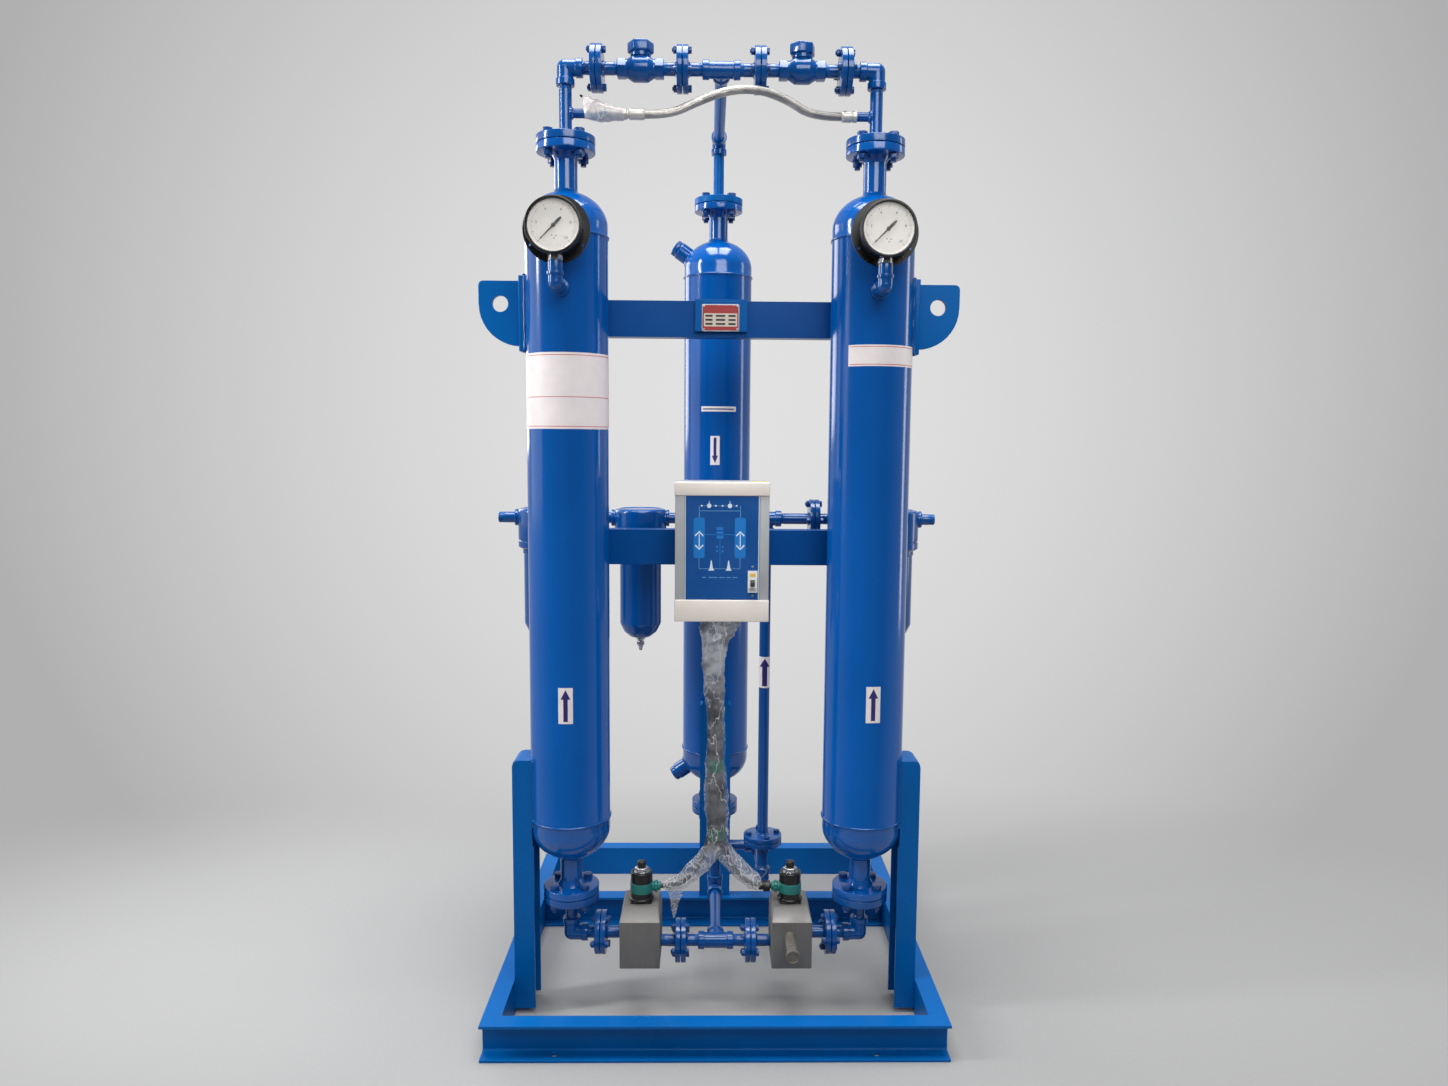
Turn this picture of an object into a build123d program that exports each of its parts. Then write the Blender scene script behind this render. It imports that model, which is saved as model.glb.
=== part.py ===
from build123d import *
import os
from math import acos, cos, radians, sin, sqrt

# Heatless desiccant air dryer on a channel-steel skid: two adsorption towers, a dry-air
# vessel behind them, flanged pipework above and below, filters, gauges and a timer box.
# Millimetres. The origin is the middle of the skid's underside, +Z up, the front faces -Y.

# Clearances
weld_gap = 0.1
seat_gap = 0.2
running_gap = 0.05
cable_hole_clearance = 1.0

# Rolled steel channel
channel_height = 100.0
channel_depth = 50.0
web_thickness = 5.0
flange_thickness = 7.5
root_radius = 7.0

# Skid
base_length = 1200.0
cross_channel_offset = 32.5
anchor_hole_diameter = 18.0
anchor_pitch_x = 844.0
anchor_edge = 25.0

# Legs and tie bars
leg_depth = 57.0
leg_foot_z = 15.0
leg_top_z = 730.0
leg_cap_thickness = 10.0
centre_leg_top_z = 764.0
centre_leg_corner = 18.0
tie_bar_overhang = 40.0
upper_bar_z = 1943.0
middle_bar_z = 1304.0

# Towers and dry-air vessel
vessel_diameter = 219.1
shell_wall = 8.2
head_skirt = 28.0
dish_height = 91.0
dish_steps = 5
hollow_steps = 3
tower_x = 408.0
tower_y = -320.0
tower_shell_bottom_z = 558.0
tower_shell_top_z = 2138.0
tower_bottom_joint_z = 338.0
tower_top_joint_z = 2375.5
vessel_y = 305.0
vessel_shell_bottom_z = 565.0
vessel_shell_top_z = 2135.0
vessel_bottom_joint_z = 360.0
vessel_top_joint_z = 2364.5
plug_angle = 35.0
plug_boss_diameter = 56.0
plug_boss_start = 112.0
plug_boss_reach = 156.0
plug_hex = 46.0
plug_head_height = 17.0
plug_shank_diameter = 34.0
plug_shank_length = 20.0

# Nozzles and their large flanges
nozzle_diameter = 60.3
nozzle_bore = 52.5
large_flange_diameter = 155.0
large_flange_thickness = 20.0
large_gasket_diameter = 104.0
gasket_thickness = 2.0

# Pipework
pipe_diameter = 33.4
pipe_bore = 26.6
small_flange_diameter = 120.0
small_flange_thickness = 14.0
small_gasket_diameter = 78.0
fitting_diameter = 43.0
collar_diameter = 49.0
collar_length = 19.0
elbow_reach = 46.0
elbow_corner_cut = 16.0
tee_reach = 50.0

# Upper manifold
top_axis_z = 2571.0
top_nipple_shares = (0.17, 0.29, 0.26, 0.28)
check_valve_length = 122.0
check_hex = 46.0
check_hex_length = 24.0
check_barrel_radius = 33.0
check_barrel_length = 44.0
check_chamber_radius = 23.5
check_chamber_depth = 19.0
check_neck_radius = 28.0
check_neck_top = 40.0
check_cap_hex = 62.0
check_cap_skirt = 9.0
check_cap_height = 26.0
check_seat_offset = 12.0
flap_radius = 17.0
flap_thickness = 4.0
flap_pivot_height = 25.0
flap_pin_radius = 2.5
flap_knuckle_radius = 5.5
flap_knuckle_length = 16.0
flap_arm_width = 10.0
flap_seat_gap = 0.15

# Purge line
purge_z = 2457.0
purge_stub_diameter = 24.0
purge_stub_reach = 51.0
hose_diameter = 22.0
left_fitting_length = 157.0
right_fitting_length = 41.0
hose_nut_hex = 26.0
hose_nut_gap = 3.0
long_nut_length = 44.0
short_nut_length = 24.0

# Lower manifold
bottom_axis_z = 215.0
inner_port_drop = 25.0
bottom_nipple_shares = (0.16, 0.31, 0.29, 0.24)
block_width = 112.0
block_back_y = -258.0
block_depth = 124.0
block_bottom_z = 152.0
block_shoulder_z = 287.0
block_top_z = 310.0
block_front_slope = 27.0
block_side_slope = 7.0
block_seat_bore = 10.0
silencer_offset = 6.0
silencer_z = 245.0
silencer_length = 142.0
silencer_diameter = 32.0
silencer_cap_diameter = 40.0
silencer_cap_length = 10.0
silencer_thread_diameter = 24.0
silencer_thread_length = 16.0

# Solenoid operators
coil_y = -318.0
coil_diameter = 61.0
coil_height = 74.0
coil_base_height = 6.0
coil_base_width = 74.0
coil_bore = 15.0
band_bottom = 26.0
band_height = 28.0
band_reach = 1.5
gland_diameter = 30.0
gland_reach = 54.0
coil_nut_hex = 34.0
coil_nut_height = 12.0
coil_cap_diameter = 25.0
coil_cap_height = 18.0
plunger_length = 42.0
plunger_travel = 4.0

# Filters and the pipe plane behind the towers
line_y = 15.0
line_z = 1370.0
prefilter_x = -528.0
fine_filter_x = -235.0
after_filter_x = 538.0
port_stub_end_x = 666.0
port_bore_depth = 36.0
filter_head_radius = 79.0
filter_head_rise = 30.0
filter_head_drop = 94.0
filter_port_reach = 88.0
filter_port_diameter = 48.0
filter_wall = 5.0
bowl_radius = 63.0
bowl_drop = 367.0
bowl_wall = 3.0
bowl_dome_height = 24.0
bowl_overlap = 24.0
element_radius = 36.0
element_length = 190.0
element_cap_height = 14.0
drain_diameter = 24.0
drain_length = 44.0
drain_nut_height = 10.0

# Outlet line
outlet_low_z = 215.0
outlet_riser_x = 150.0
riser_joint_z = 356.0
outlet_joint_x = 296.0

# Pressure gauges
gauge_stand_off = 67.45
gauge_z = 2124.0
gauge_flange_diameter = 168.0
gauge_flange_thickness = 5.0
gauge_case_diameter = 134.0
gauge_case_depth = 46.0
gauge_bezel_diameter = 139.0
gauge_bezel_depth = 15.0
gauge_bezel_lip = 7.0
gauge_wall = 3.0
dial_thickness = 1.5
dial_depth = 12.0
glass_thickness = 3.0
glass_depth = 3.0
pointer_thickness = 1.2
pointer_gap = 1.5
pointer_length = 48.0
pointer_tail = 27.0
pointer_hub_radius = 5.0
pointer_shaft_radius = 1.5
stem_socket_diameter = 36.0
stem_collar_diameter = 42.0
stem_hex = 32.0
stem_hex_length = 12.0
stem_reach = 27.0
stem_corner_cut = 10.0
stem_band = 10.0
gauge_tap_z = 1992.0
tap_boss_diameter = 44.0
tap_boss_length = 16.0
gauge_stem_offset = 24.5

# Lifting lugs
lug_pad_bottom_z = 1839.0
lug_pad_top_z = 2037.0
lug_pad_width = 50.0
lug_pad_thickness = 15.45
lug_bottom_z = 1854.0
lug_top_z = 2025.0
lug_length = 109.0
lug_thickness = 14.0
lug_hole_inset = 52.0
lug_hole_z = 1965.0
lug_hole_diameter = 43.0

# Timer box
box_x = 10.0
box_width = 255.0
box_bottom_z = 1116.0
box_top_z = 1496.0
box_front_y = -360.0
box_wall = 4.0
box_corner = 6.0
cover_depth = 22.0
band_proud = 6.0
top_band_height = 37.0
bottom_band_height = 60.0
panel_width = 200.0
panel_thickness = 2.0
bracket_rail_width = 150.0
bracket_rail_height = 30.0
bracket_rail_depth = 14.0
board_width = 190.0
board_height = 240.0
board_thickness = 1.6
board_standoff = 12.0
breaker_offset = 83.5
breaker_rise = 110.5
breaker_width = 26.0
breaker_height = 59.0
breaker_depth = 52.0
breaker_proud = 5.0
toggle_width = 11.0
toggle_length = 9.0
toggle_radius = 7.0
toggle_height = 4.0
toggle_pin_radius = 1.5
toggle_side_gap = 0.5
toggle_slot_gap = 1.5
toggle_rest_angle = -22.0
gland_x = (-24.0, 14.0)
gland_y = -290.0
box_gland_diameter = 26.0
box_gland_length = 24.0

# Nameplate on its raised holder
holder_x = 5.0
holder_width = 144.0
holder_height = 88.0
holder_depth = 14.0
holder_top_z = 1996.0
nameplate_width = 108.0
nameplate_height = 78.0
nameplate_thickness = 1.5

# Desiccant
screen_thickness = 6.0
screen_inset = 10.0

# Cables to the solenoids, from gland to gland
cable_diameter = 13.0

sides = (-1, 1)
vessel_radius = vessel_diameter / 2
shell_inner_radius = vessel_radius - shell_wall
half_channel = channel_height / 2
half_gasket = gasket_thickness / 2
flange_depth = half_gasket + small_flange_thickness

# The skid is as wide as the towers and their legs need
tower_chord = sqrt(vessel_radius**2 - half_channel**2)
side_web_x = tower_x + tower_chord + leg_depth
base_width = 2 * (side_web_x + channel_depth)
centre_leg_front_y = vessel_y - tower_chord - channel_depth
cross_channel_back_y = centre_leg_front_y + cross_channel_offset
bar_front_y = tower_y + vessel_radius + weld_gap

# The nipples of each manifold share the length that its fittings leave
top_free = tower_x - elbow_reach - check_valve_length - tee_reach - 4 * flange_depth
top_outer, valve_outer, valve_inner, top_inner = [share * top_free for share in top_nipple_shares]
outer_joint_x = tower_x - elbow_reach - top_outer - flange_depth
check_valve_x = outer_joint_x - flange_depth - valve_outer - check_valve_length / 2
inner_joint_x = tee_reach + top_inner + flange_depth
bottom_free = tower_x - elbow_reach - block_width - tee_reach - 4 * flange_depth
bottom_outer, block_outer, block_inner, bottom_inner = [
    share * bottom_free for share in bottom_nipple_shares
]
outer_bottom_joint_x = tower_x - elbow_reach - bottom_outer - flange_depth
block_x = outer_bottom_joint_x - flange_depth - block_outer - block_width / 2
inner_bottom_joint_x = tee_reach + bottom_inner + flange_depth
block_outer_x = block_x + block_width / 2
block_inner_x = block_x - block_width / 2
block_front_y = block_back_y - block_depth
silencer_x = block_x - silencer_offset
inlet_drop_z = bottom_axis_z - inner_port_drop

purge_stub_end_x = tower_x - purge_stub_reach
left_hose_x = left_fitting_length - purge_stub_end_x
right_hose_x = purge_stub_end_x - right_fitting_length
filter_head_top_z = line_z + filter_head_rise
filter_head_bottom_z = line_z - filter_head_drop
bowl_bottom_z = line_z - bowl_drop
gauge_y = tower_y - vessel_radius - gauge_stand_off
gauge_stem_y = gauge_y - gauge_stem_offset
lug_pad_outer_x = tower_x + vessel_radius + lug_pad_thickness
lug_reach_x = lug_pad_outer_x + lug_length
lug_hole_x = lug_pad_outer_x + lug_hole_inset
breaker_x = box_x + breaker_offset
breaker_z = box_bottom_z + breaker_rise
nodes = {}


def channel_bar(start, run, towards_flanges, length, depth):
    """A rolled channel from the middle of its web's outer face."""
    half = channel_height / 2
    inner = half - flange_thickness
    with BuildPart() as bar:
        with BuildSketch(Plane(origin=start, x_dir=towards_flanges, z_dir=run)) as section:
            with BuildLine():
                Polyline(
                    (0, -half),
                    (depth, -half),
                    (depth, -inner),
                    (web_thickness, -inner),
                    (web_thickness, inner),
                    (depth, inner),
                    (depth, half),
                    (0, half),
                    close=True,
                )
            make_face()
            roots = section.vertices().filter_by_position(
                Axis.X, web_thickness - 0.01, web_thickness + 0.01
            )
            fillet(roots, root_radius)
        extrude(amount=length)
    return bar.part


def pipe(start, run, length, diameter=pipe_diameter):
    """A straight pipe, closed inside because nothing shows its bore."""
    with BuildPart() as piece:
        with BuildSketch(Plane(origin=start, z_dir=run)):
            Circle(diameter / 2)
        extrude(amount=length)
    return piece.part


def flanged_pipe(joint, run, length, large=False):
    """A flange whose face lies half a gasket from the joint's centre, with its pipe."""
    diameter = large_flange_diameter if large else small_flange_diameter
    thickness = large_flange_thickness if large else small_flange_thickness
    seat = Plane(origin=joint, z_dir=run).offset(gasket_thickness / 2)
    with BuildPart() as piece:
        with BuildSketch(seat):
            Circle(diameter / 2)
        extrude(amount=thickness)
        with BuildSketch(seat.offset(thickness)):
            Circle(pipe_diameter / 2)
        extrude(amount=length)
    return piece.part


def gasket(joint, run, diameter):
    """The packing between two flange faces, inside the bolt circle."""
    with BuildPart() as packing:
        with BuildSketch(Plane(origin=joint, z_dir=run).offset(-gasket_thickness / 2)):
            Circle(diameter / 2)
        extrude(amount=gasket_thickness)
    return packing.part


def elbow(corner, first, second, reach=elbow_reach, body=fitting_diameter, collar=collar_diameter,
          cut=elbow_corner_cut, band=collar_length):
    """A forged elbow with its corner cut at half the turn and two collared mouths."""
    corner = Vector(*corner)
    first = Vector(*first)
    second = Vector(*second)
    with BuildPart() as piece:
        with BuildLine() as centre_line:
            Polyline(
                corner + first * reach,
                corner + first * cut,
                corner + second * cut,
                corner + second * reach,
            )
        with BuildSketch(Plane(origin=corner + first * reach, z_dir=first * -1)):
            Circle(body / 2)
        sweep(path=centre_line.wires()[0], transition=Transition.RIGHT)
        for mouth in (first, second):
            with BuildSketch(Plane(origin=corner + mouth * reach, z_dir=mouth * -1)):
                Circle(collar / 2)
            extrude(amount=band)
    return piece.part


def tee(centre, branch):
    """A forged tee on a level run along X, with one collared branch."""
    run = Plane(origin=(centre[0] - tee_reach, centre[1], centre[2]), z_dir=(1, 0, 0))
    stub = Plane(origin=centre, z_dir=branch)
    with BuildPart() as piece:
        with BuildSketch(run):
            Circle(fitting_diameter / 2)
        extrude(amount=2 * tee_reach)
        with BuildSketch(stub):
            Circle(fitting_diameter / 2 - weld_gap)
        extrude(amount=tee_reach)
        with BuildSketch(run, run.offset(2 * tee_reach - collar_length)):
            Circle(collar_diameter / 2)
        extrude(amount=collar_length)
        with BuildSketch(stub.offset(tee_reach - collar_length)):
            Circle(collar_diameter / 2)
        extrude(amount=collar_length)
    return piece.part


def dish_points(radius, height, base_z, direction, neck_radius, steps):
    """Points of an elliptical dish from its rim to its neck, direction 1 up or -1 down."""
    turn = acos(neck_radius / radius)
    return [
        (
            radius * cos(turn * step / steps),
            base_z + direction * height * sin(turn * step / steps),
        )
        for step in range(steps + 1)
    ]


def vessel_blank(x, y, shell, joints):
    """A shell with two dished heads, their nozzles and the nozzle flanges, hollow inside."""
    low_z = shell[0] - head_skirt
    high_z = shell[1] + head_skirt
    low_face = joints[0] + gasket_thickness / 2
    high_face = joints[1] - gasket_thickness / 2
    flange_radius = large_flange_diameter / 2
    nozzle_radius = nozzle_diameter / 2
    low_dish = dish_points(vessel_radius, dish_height, low_z, -1, nozzle_radius, dish_steps)
    high_dish = dish_points(vessel_radius, dish_height, high_z, 1, nozzle_radius, dish_steps)
    inner_height = dish_height - shell_wall
    low_hollow = dish_points(shell_inner_radius, inner_height, low_z, -1, nozzle_bore / 2, hollow_steps)
    high_hollow = dish_points(shell_inner_radius, inner_height, high_z, 1, nozzle_bore / 2, hollow_steps)
    with BuildPart() as vessel:
        with BuildSketch(Plane(origin=(x, y, 0), x_dir=(1, 0, 0), z_dir=(0, -1, 0))):
            with BuildLine():
                Polyline(
                    (0, low_face),
                    (flange_radius, low_face),
                    (flange_radius, low_face + large_flange_thickness),
                    (nozzle_radius, low_face + large_flange_thickness),
                    *low_dish[::-1],
                    *high_dish,
                    (nozzle_radius, high_face - large_flange_thickness),
                    (flange_radius, high_face - large_flange_thickness),
                    (flange_radius, high_face),
                    (0, high_face),
                    close=True,
                )
            make_face()
            with BuildLine():
                Polyline(
                    (0, low_face + large_flange_thickness),
                    (nozzle_bore / 2, low_face + large_flange_thickness),
                    *low_hollow[::-1],
                    *high_hollow,
                    (nozzle_bore / 2, high_face - large_flange_thickness),
                    (0, high_face - large_flange_thickness),
                    close=True,
                )
            make_face(mode=Mode.SUBTRACT)
        revolve(axis=Axis((x, y, 0), (0, 0, 1)))
    return vessel.part


def tower(side):
    """An adsorption tower with the boss of its gauge tapping."""
    x = side * tower_x
    tap = Plane(origin=(x, tower_y, gauge_tap_z), z_dir=(0, -1, 0))
    blank = vessel_blank(
        x,
        tower_y,
        (tower_shell_bottom_z, tower_shell_top_z),
        (tower_bottom_joint_z, tower_top_joint_z),
    )
    with BuildPart() as shell:
        add(blank)
        with BuildSketch(tap.offset(shell_inner_radius + shell_wall / 2)):
            Circle(tap_boss_diameter / 2)
        extrude(amount=shell_wall / 2 + tap_boss_length)
    return shell.part


# Skid of rolled channels
with BuildPart() as base_front_channel:
    add(
        channel_bar(
            (-base_width / 2, -base_length / 2 + channel_depth, half_channel),
            (1, 0, 0),
            (0, -1, 0),
            base_width,
            channel_depth,
        )
    )
    with BuildSketch(Plane.XY):
        with Locations((0, -base_length / 2 + anchor_edge)):
            with GridLocations(anchor_pitch_x, 1, 2, 1):
                Circle(anchor_hole_diameter / 2)
    extrude(amount=flange_thickness, mode=Mode.SUBTRACT)
nodes["base_front_channel"] = base_front_channel

with BuildPart() as base_rear_channel:
    add(
        channel_bar(
            (-base_width / 2, base_length / 2 - channel_depth, half_channel),
            (1, 0, 0),
            (0, 1, 0),
            base_width,
            channel_depth,
        )
    )
    with BuildSketch(Plane.XY):
        with Locations((0, base_length / 2 - anchor_edge)):
            with GridLocations(anchor_pitch_x, 1, 2, 1):
                Circle(anchor_hole_diameter / 2)
    extrude(amount=flange_thickness, mode=Mode.SUBTRACT)
nodes["base_rear_channel"] = base_rear_channel

side_rails = [
    channel_bar(
        (side * side_web_x, -base_length / 2 + channel_depth, half_channel),
        (0, 1, 0),
        (side, 0, 0),
        base_length - 2 * channel_depth,
        channel_depth,
    )
    for side in sides
]
with BuildPart() as base_side_channels:
    add(side_rails)
nodes["base_side_channels"] = base_side_channels

with BuildPart() as base_cross_channel:
    add(
        channel_bar(
            (-side_web_x, cross_channel_back_y, half_channel),
            (1, 0, 0),
            (0, -1, 0),
            2 * side_web_x,
            channel_depth,
        )
    )
nodes["base_cross_channel"] = base_cross_channel

# Side legs, welded inside the skid and coped to the towers
leg_bars = [
    channel_bar(
        (side * side_web_x, tower_y, leg_foot_z),
        (0, 0, 1),
        (-side, 0, 0),
        leg_top_z - leg_cap_thickness - leg_foot_z,
        leg_depth,
    )
    for side in sides
]
with BuildPart() as side_legs:
    add(leg_bars)
    with BuildSketch(Plane.XY.offset(leg_top_z - leg_cap_thickness)):
        with Locations([(side * (side_web_x - leg_depth / 2), tower_y) for side in sides]):
            Rectangle(leg_depth, channel_height)
    extrude(amount=leg_cap_thickness)
    with BuildSketch(Plane.XY.offset(tower_shell_bottom_z - head_skirt - dish_height / 2)):
        with Locations([(side * tower_x, tower_y) for side in sides]):
            Circle(vessel_radius + weld_gap)
    extrude(amount=leg_top_z, mode=Mode.SUBTRACT)
nodes["side_legs"] = side_legs

# Centre leg, standing on the cross channel in front of the dry-air vessel
with BuildPart() as centre_leg:
    add(
        channel_bar(
            (0, centre_leg_front_y, channel_height),
            (0, 0, 1),
            (0, 1, 0),
            centre_leg_top_z - channel_height,
            channel_depth,
        )
    )
    corners = centre_leg.edges().filter_by(Axis.Y).group_by(Axis.Z)[-1]
    outer_corners = [corners.sort_by(Axis.X)[0], corners.sort_by(Axis.X)[-1]]
    chamfer(outer_corners, min(centre_leg_corner, half_channel / 2))
    with BuildSketch(Plane.XY.offset(vessel_shell_bottom_z - head_skirt - dish_height / 2)):
        with Locations((0, vessel_y)):
            Circle(vessel_radius + weld_gap)
    extrude(amount=centre_leg_top_z, mode=Mode.SUBTRACT)
nodes["centre_leg"] = centre_leg

# Tie bars welded across the backs of the towers, webs to the front
bar_half_length = tower_x + tie_bar_overhang
bars = [
    channel_bar(
        (-bar_half_length, bar_front_y, height),
        (1, 0, 0),
        (0, 1, 0),
        2 * bar_half_length,
        channel_depth,
    )
    for height in (upper_bar_z, middle_bar_z)
]
with BuildPart() as tie_bars:
    add(bars)
nodes["tie_bars"] = tie_bars

# Lifting lugs: a pad strip curved to the tower and a plate with its lower corner rounded off
lug_corner = min(lug_top_z - lug_bottom_z, lug_reach_x - lug_pad_outer_x) - 0.5
with BuildPart() as lifting_lugs:
    pad_inner_x = tower_x + sqrt(vessel_radius**2 - lug_pad_width**2 / 4) - 1
    with BuildSketch(Plane.XY.offset(lug_pad_bottom_z)):
        with Locations([(side * (pad_inner_x + lug_pad_outer_x) / 2, tower_y) for side in sides]):
            Rectangle(lug_pad_outer_x - pad_inner_x, lug_pad_width)
        with Locations([(side * tower_x, tower_y) for side in sides]):
            Circle(vessel_radius + weld_gap, mode=Mode.SUBTRACT)
    extrude(amount=lug_pad_top_z - lug_pad_bottom_z)
    with BuildSketch(Plane(origin=(0, tower_y - lug_thickness / 2, 0), x_dir=(1, 0, 0), z_dir=(0, -1, 0))):
        for side in sides:
            with BuildLine():
                low = (side * lug_pad_outer_x, lug_bottom_z)
                knee = (side * lug_reach_x, lug_bottom_z + lug_corner)
                bulge = (
                    side * (lug_pad_outer_x + lug_corner * sin(radians(45))),
                    lug_bottom_z + lug_corner * (1 - cos(radians(45))),
                )
                ThreePointArc(low, bulge, knee)
                Polyline(knee, (side * lug_reach_x, lug_top_z), (side * lug_pad_outer_x, lug_top_z), low)
            make_face()
        with Locations([(side * lug_hole_x, lug_hole_z) for side in sides]):
            Circle(lug_hole_diameter / 2, mode=Mode.SUBTRACT)
    extrude(amount=-lug_thickness)
nodes["lifting_lugs"] = lifting_lugs

# Adsorption towers
left_tower_shell = tower(-1)
right_tower_shell = tower(1)
with BuildPart() as left_tower:
    add(left_tower_shell)
nodes["left_tower"] = left_tower
with BuildPart() as right_tower:
    add(right_tower_shell)
nodes["right_tower"] = right_tower

# Dry-air vessel with two sloping plugged couplings on its left
vessel_shell = vessel_blank(
    0,
    vessel_y,
    (vessel_shell_bottom_z, vessel_shell_top_z),
    (vessel_bottom_joint_z, vessel_top_joint_z),
)
plug_axes = []
for end_z, rise in ((vessel_shell_top_z, 1), (vessel_shell_bottom_z, -1)):
    slope = (-cos(radians(plug_angle)), 0, rise * sin(radians(plug_angle)))
    plug_axes.append(Plane(origin=(0, vessel_y, end_z), x_dir=(0, 1, 0), z_dir=slope))
with BuildPart() as centre_vessel:
    add(vessel_shell)
    for axis_plane in plug_axes:
        with BuildSketch(axis_plane.offset(plug_boss_start)):
            Circle(plug_boss_diameter / 2)
        extrude(amount=plug_boss_reach - plug_boss_start)
        with BuildSketch(axis_plane.offset(plug_boss_reach)):
            Circle(plug_shank_diameter / 2 + weld_gap)
        extrude(amount=-(plug_shank_length + seat_gap), mode=Mode.SUBTRACT)
nodes["centre_vessel"] = centre_vessel

with BuildPart() as vessel_plugs:
    for axis_plane in plug_axes:
        with BuildSketch(axis_plane.offset(plug_boss_reach - plug_shank_length)):
            Circle(plug_shank_diameter / 2)
        extrude(amount=plug_shank_length)
        with BuildSketch(axis_plane.offset(plug_boss_reach)):
            RegularPolygon(plug_hex / 2, 6, major_radius=False)
        extrude(amount=plug_head_height)
nodes["vessel_plugs"] = vessel_plugs

# Screens and desiccant inside the towers
screen_places = [(side * tower_x, tower_y) for side in sides]
low_screen_z = tower_shell_bottom_z + screen_inset
high_screen_z = tower_shell_top_z - screen_inset - screen_thickness
with BuildPart() as bed_screens:
    for height in (low_screen_z, high_screen_z):
        with BuildSketch(Plane.XY.offset(height)):
            with Locations(screen_places):
                Circle(shell_inner_radius - seat_gap)
        extrude(amount=screen_thickness)
nodes["bed_screens"] = bed_screens

with BuildPart() as desiccant_beds:
    with BuildSketch(Plane.XY.offset(low_screen_z + screen_thickness)):
        with Locations(screen_places):
            Circle(shell_inner_radius - seat_gap)
    extrude(amount=high_screen_z - low_screen_z - screen_thickness)
nodes["desiccant_beds"] = desiccant_beds

# Risers from the towers with their purge stubs
riser_length = top_axis_z - elbow_reach - tower_top_joint_z - gasket_thickness / 2 - large_flange_thickness
riser_pipes = [
    flanged_pipe((side * tower_x, tower_y, tower_top_joint_z), (0, 0, 1), riser_length, large=True)
    for side in sides
]
with BuildPart() as top_risers:
    add(riser_pipes)
    for side in sides:
        with BuildSketch(Plane(origin=(side * tower_x, tower_y, purge_z), z_dir=(-side, 0, 0))):
            Circle(purge_stub_diameter / 2)
        extrude(amount=tower_x - purge_stub_end_x)
nodes["top_risers"] = top_risers

top_turns = [
    elbow((side * tower_x, tower_y, top_axis_z), (0, 0, -1), (-side, 0, 0)) for side in sides
]
vessel_turn = elbow((0, vessel_y, top_axis_z), (0, -1, 0), (0, 0, -1))
bottom_turns = [
    elbow((side * tower_x, tower_y, bottom_axis_z), (0, 0, 1), (-side, 0, 0)) for side in sides
]
with BuildPart() as manifold_elbows:
    add(top_turns)
    add(bottom_turns)
    add(vessel_turn)
nodes["manifold_elbows"] = manifold_elbows

# Flanged nipples of the upper manifold: tower elbow, check valve and tee
top_nipples = []
for side in sides:
    outer_joint = (side * outer_joint_x, tower_y, top_axis_z)
    inner_joint = (side * inner_joint_x, tower_y, top_axis_z)
    out = (side, 0, 0)
    inwards = (-side, 0, 0)
    top_nipples.append(flanged_pipe(outer_joint, out, top_outer))
    top_nipples.append(flanged_pipe(outer_joint, inwards, valve_outer))
    top_nipples.append(flanged_pipe(inner_joint, out, valve_inner))
    top_nipples.append(flanged_pipe(inner_joint, inwards, top_inner))
with BuildPart() as top_flanged_nipples:
    add(top_nipples)
nodes["top_flanged_nipples"] = top_flanged_nipples


def check_valve_body(side):
    """A swing check valve: hexagon ends, barrel, neck, chamber, seat and flap pin."""
    centre = (side * check_valve_x, tower_y, top_axis_z)
    run = Plane(origin=centre, x_dir=(0, 1, 0), z_dir=(side, 0, 0))
    up = Plane(origin=centre, z_dir=(0, 0, 1))
    half = check_valve_length / 2
    pivot = (
        centre[0] + side * (check_seat_offset - flap_seat_gap - flap_thickness / 2),
        tower_y - check_chamber_radius,
        top_axis_z + flap_pivot_height,
    )
    with BuildPart() as body:
        with BuildSketch(run.offset(half - check_hex_length), run.offset(-half)):
            RegularPolygon(check_hex / 2, 6, major_radius=False)
        extrude(amount=check_hex_length)
        with BuildSketch(Plane(origin=centre, x_dir=(1, 0, 0), z_dir=(0, -1, 0))):
            with BuildLine():
                Polyline(
                    (-half + check_hex_length, 0),
                    (-half + check_hex_length, fitting_diameter / 2),
                    (-check_barrel_length / 2, check_barrel_radius),
                    (check_barrel_length / 2, check_barrel_radius),
                    (half - check_hex_length, fitting_diameter / 2),
                    (half - check_hex_length, 0),
                    close=True,
                )
            make_face()
        revolve(axis=Axis(centre, (1, 0, 0)))
        with BuildSketch(up):
            Circle(check_neck_radius)
        extrude(amount=check_neck_top)
        with BuildSketch(up.offset(-check_chamber_depth)):
            Circle(check_chamber_radius)
        extrude(amount=check_neck_top + check_chamber_depth, mode=Mode.SUBTRACT)
        with BuildSketch(run.offset(check_seat_offset)):
            Circle(flap_radius)
        extrude(amount=check_chamber_radius - check_seat_offset)
        with BuildSketch(run.offset(-half)):
            Circle(pipe_bore / 2)
        extrude(amount=check_valve_length, mode=Mode.SUBTRACT)
        with BuildSketch(Plane(origin=pivot, x_dir=(1, 0, 0), z_dir=(0, 1, 0))):
            Circle(flap_pin_radius)
        extrude(amount=2 * check_chamber_radius)
    return body.part


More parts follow.
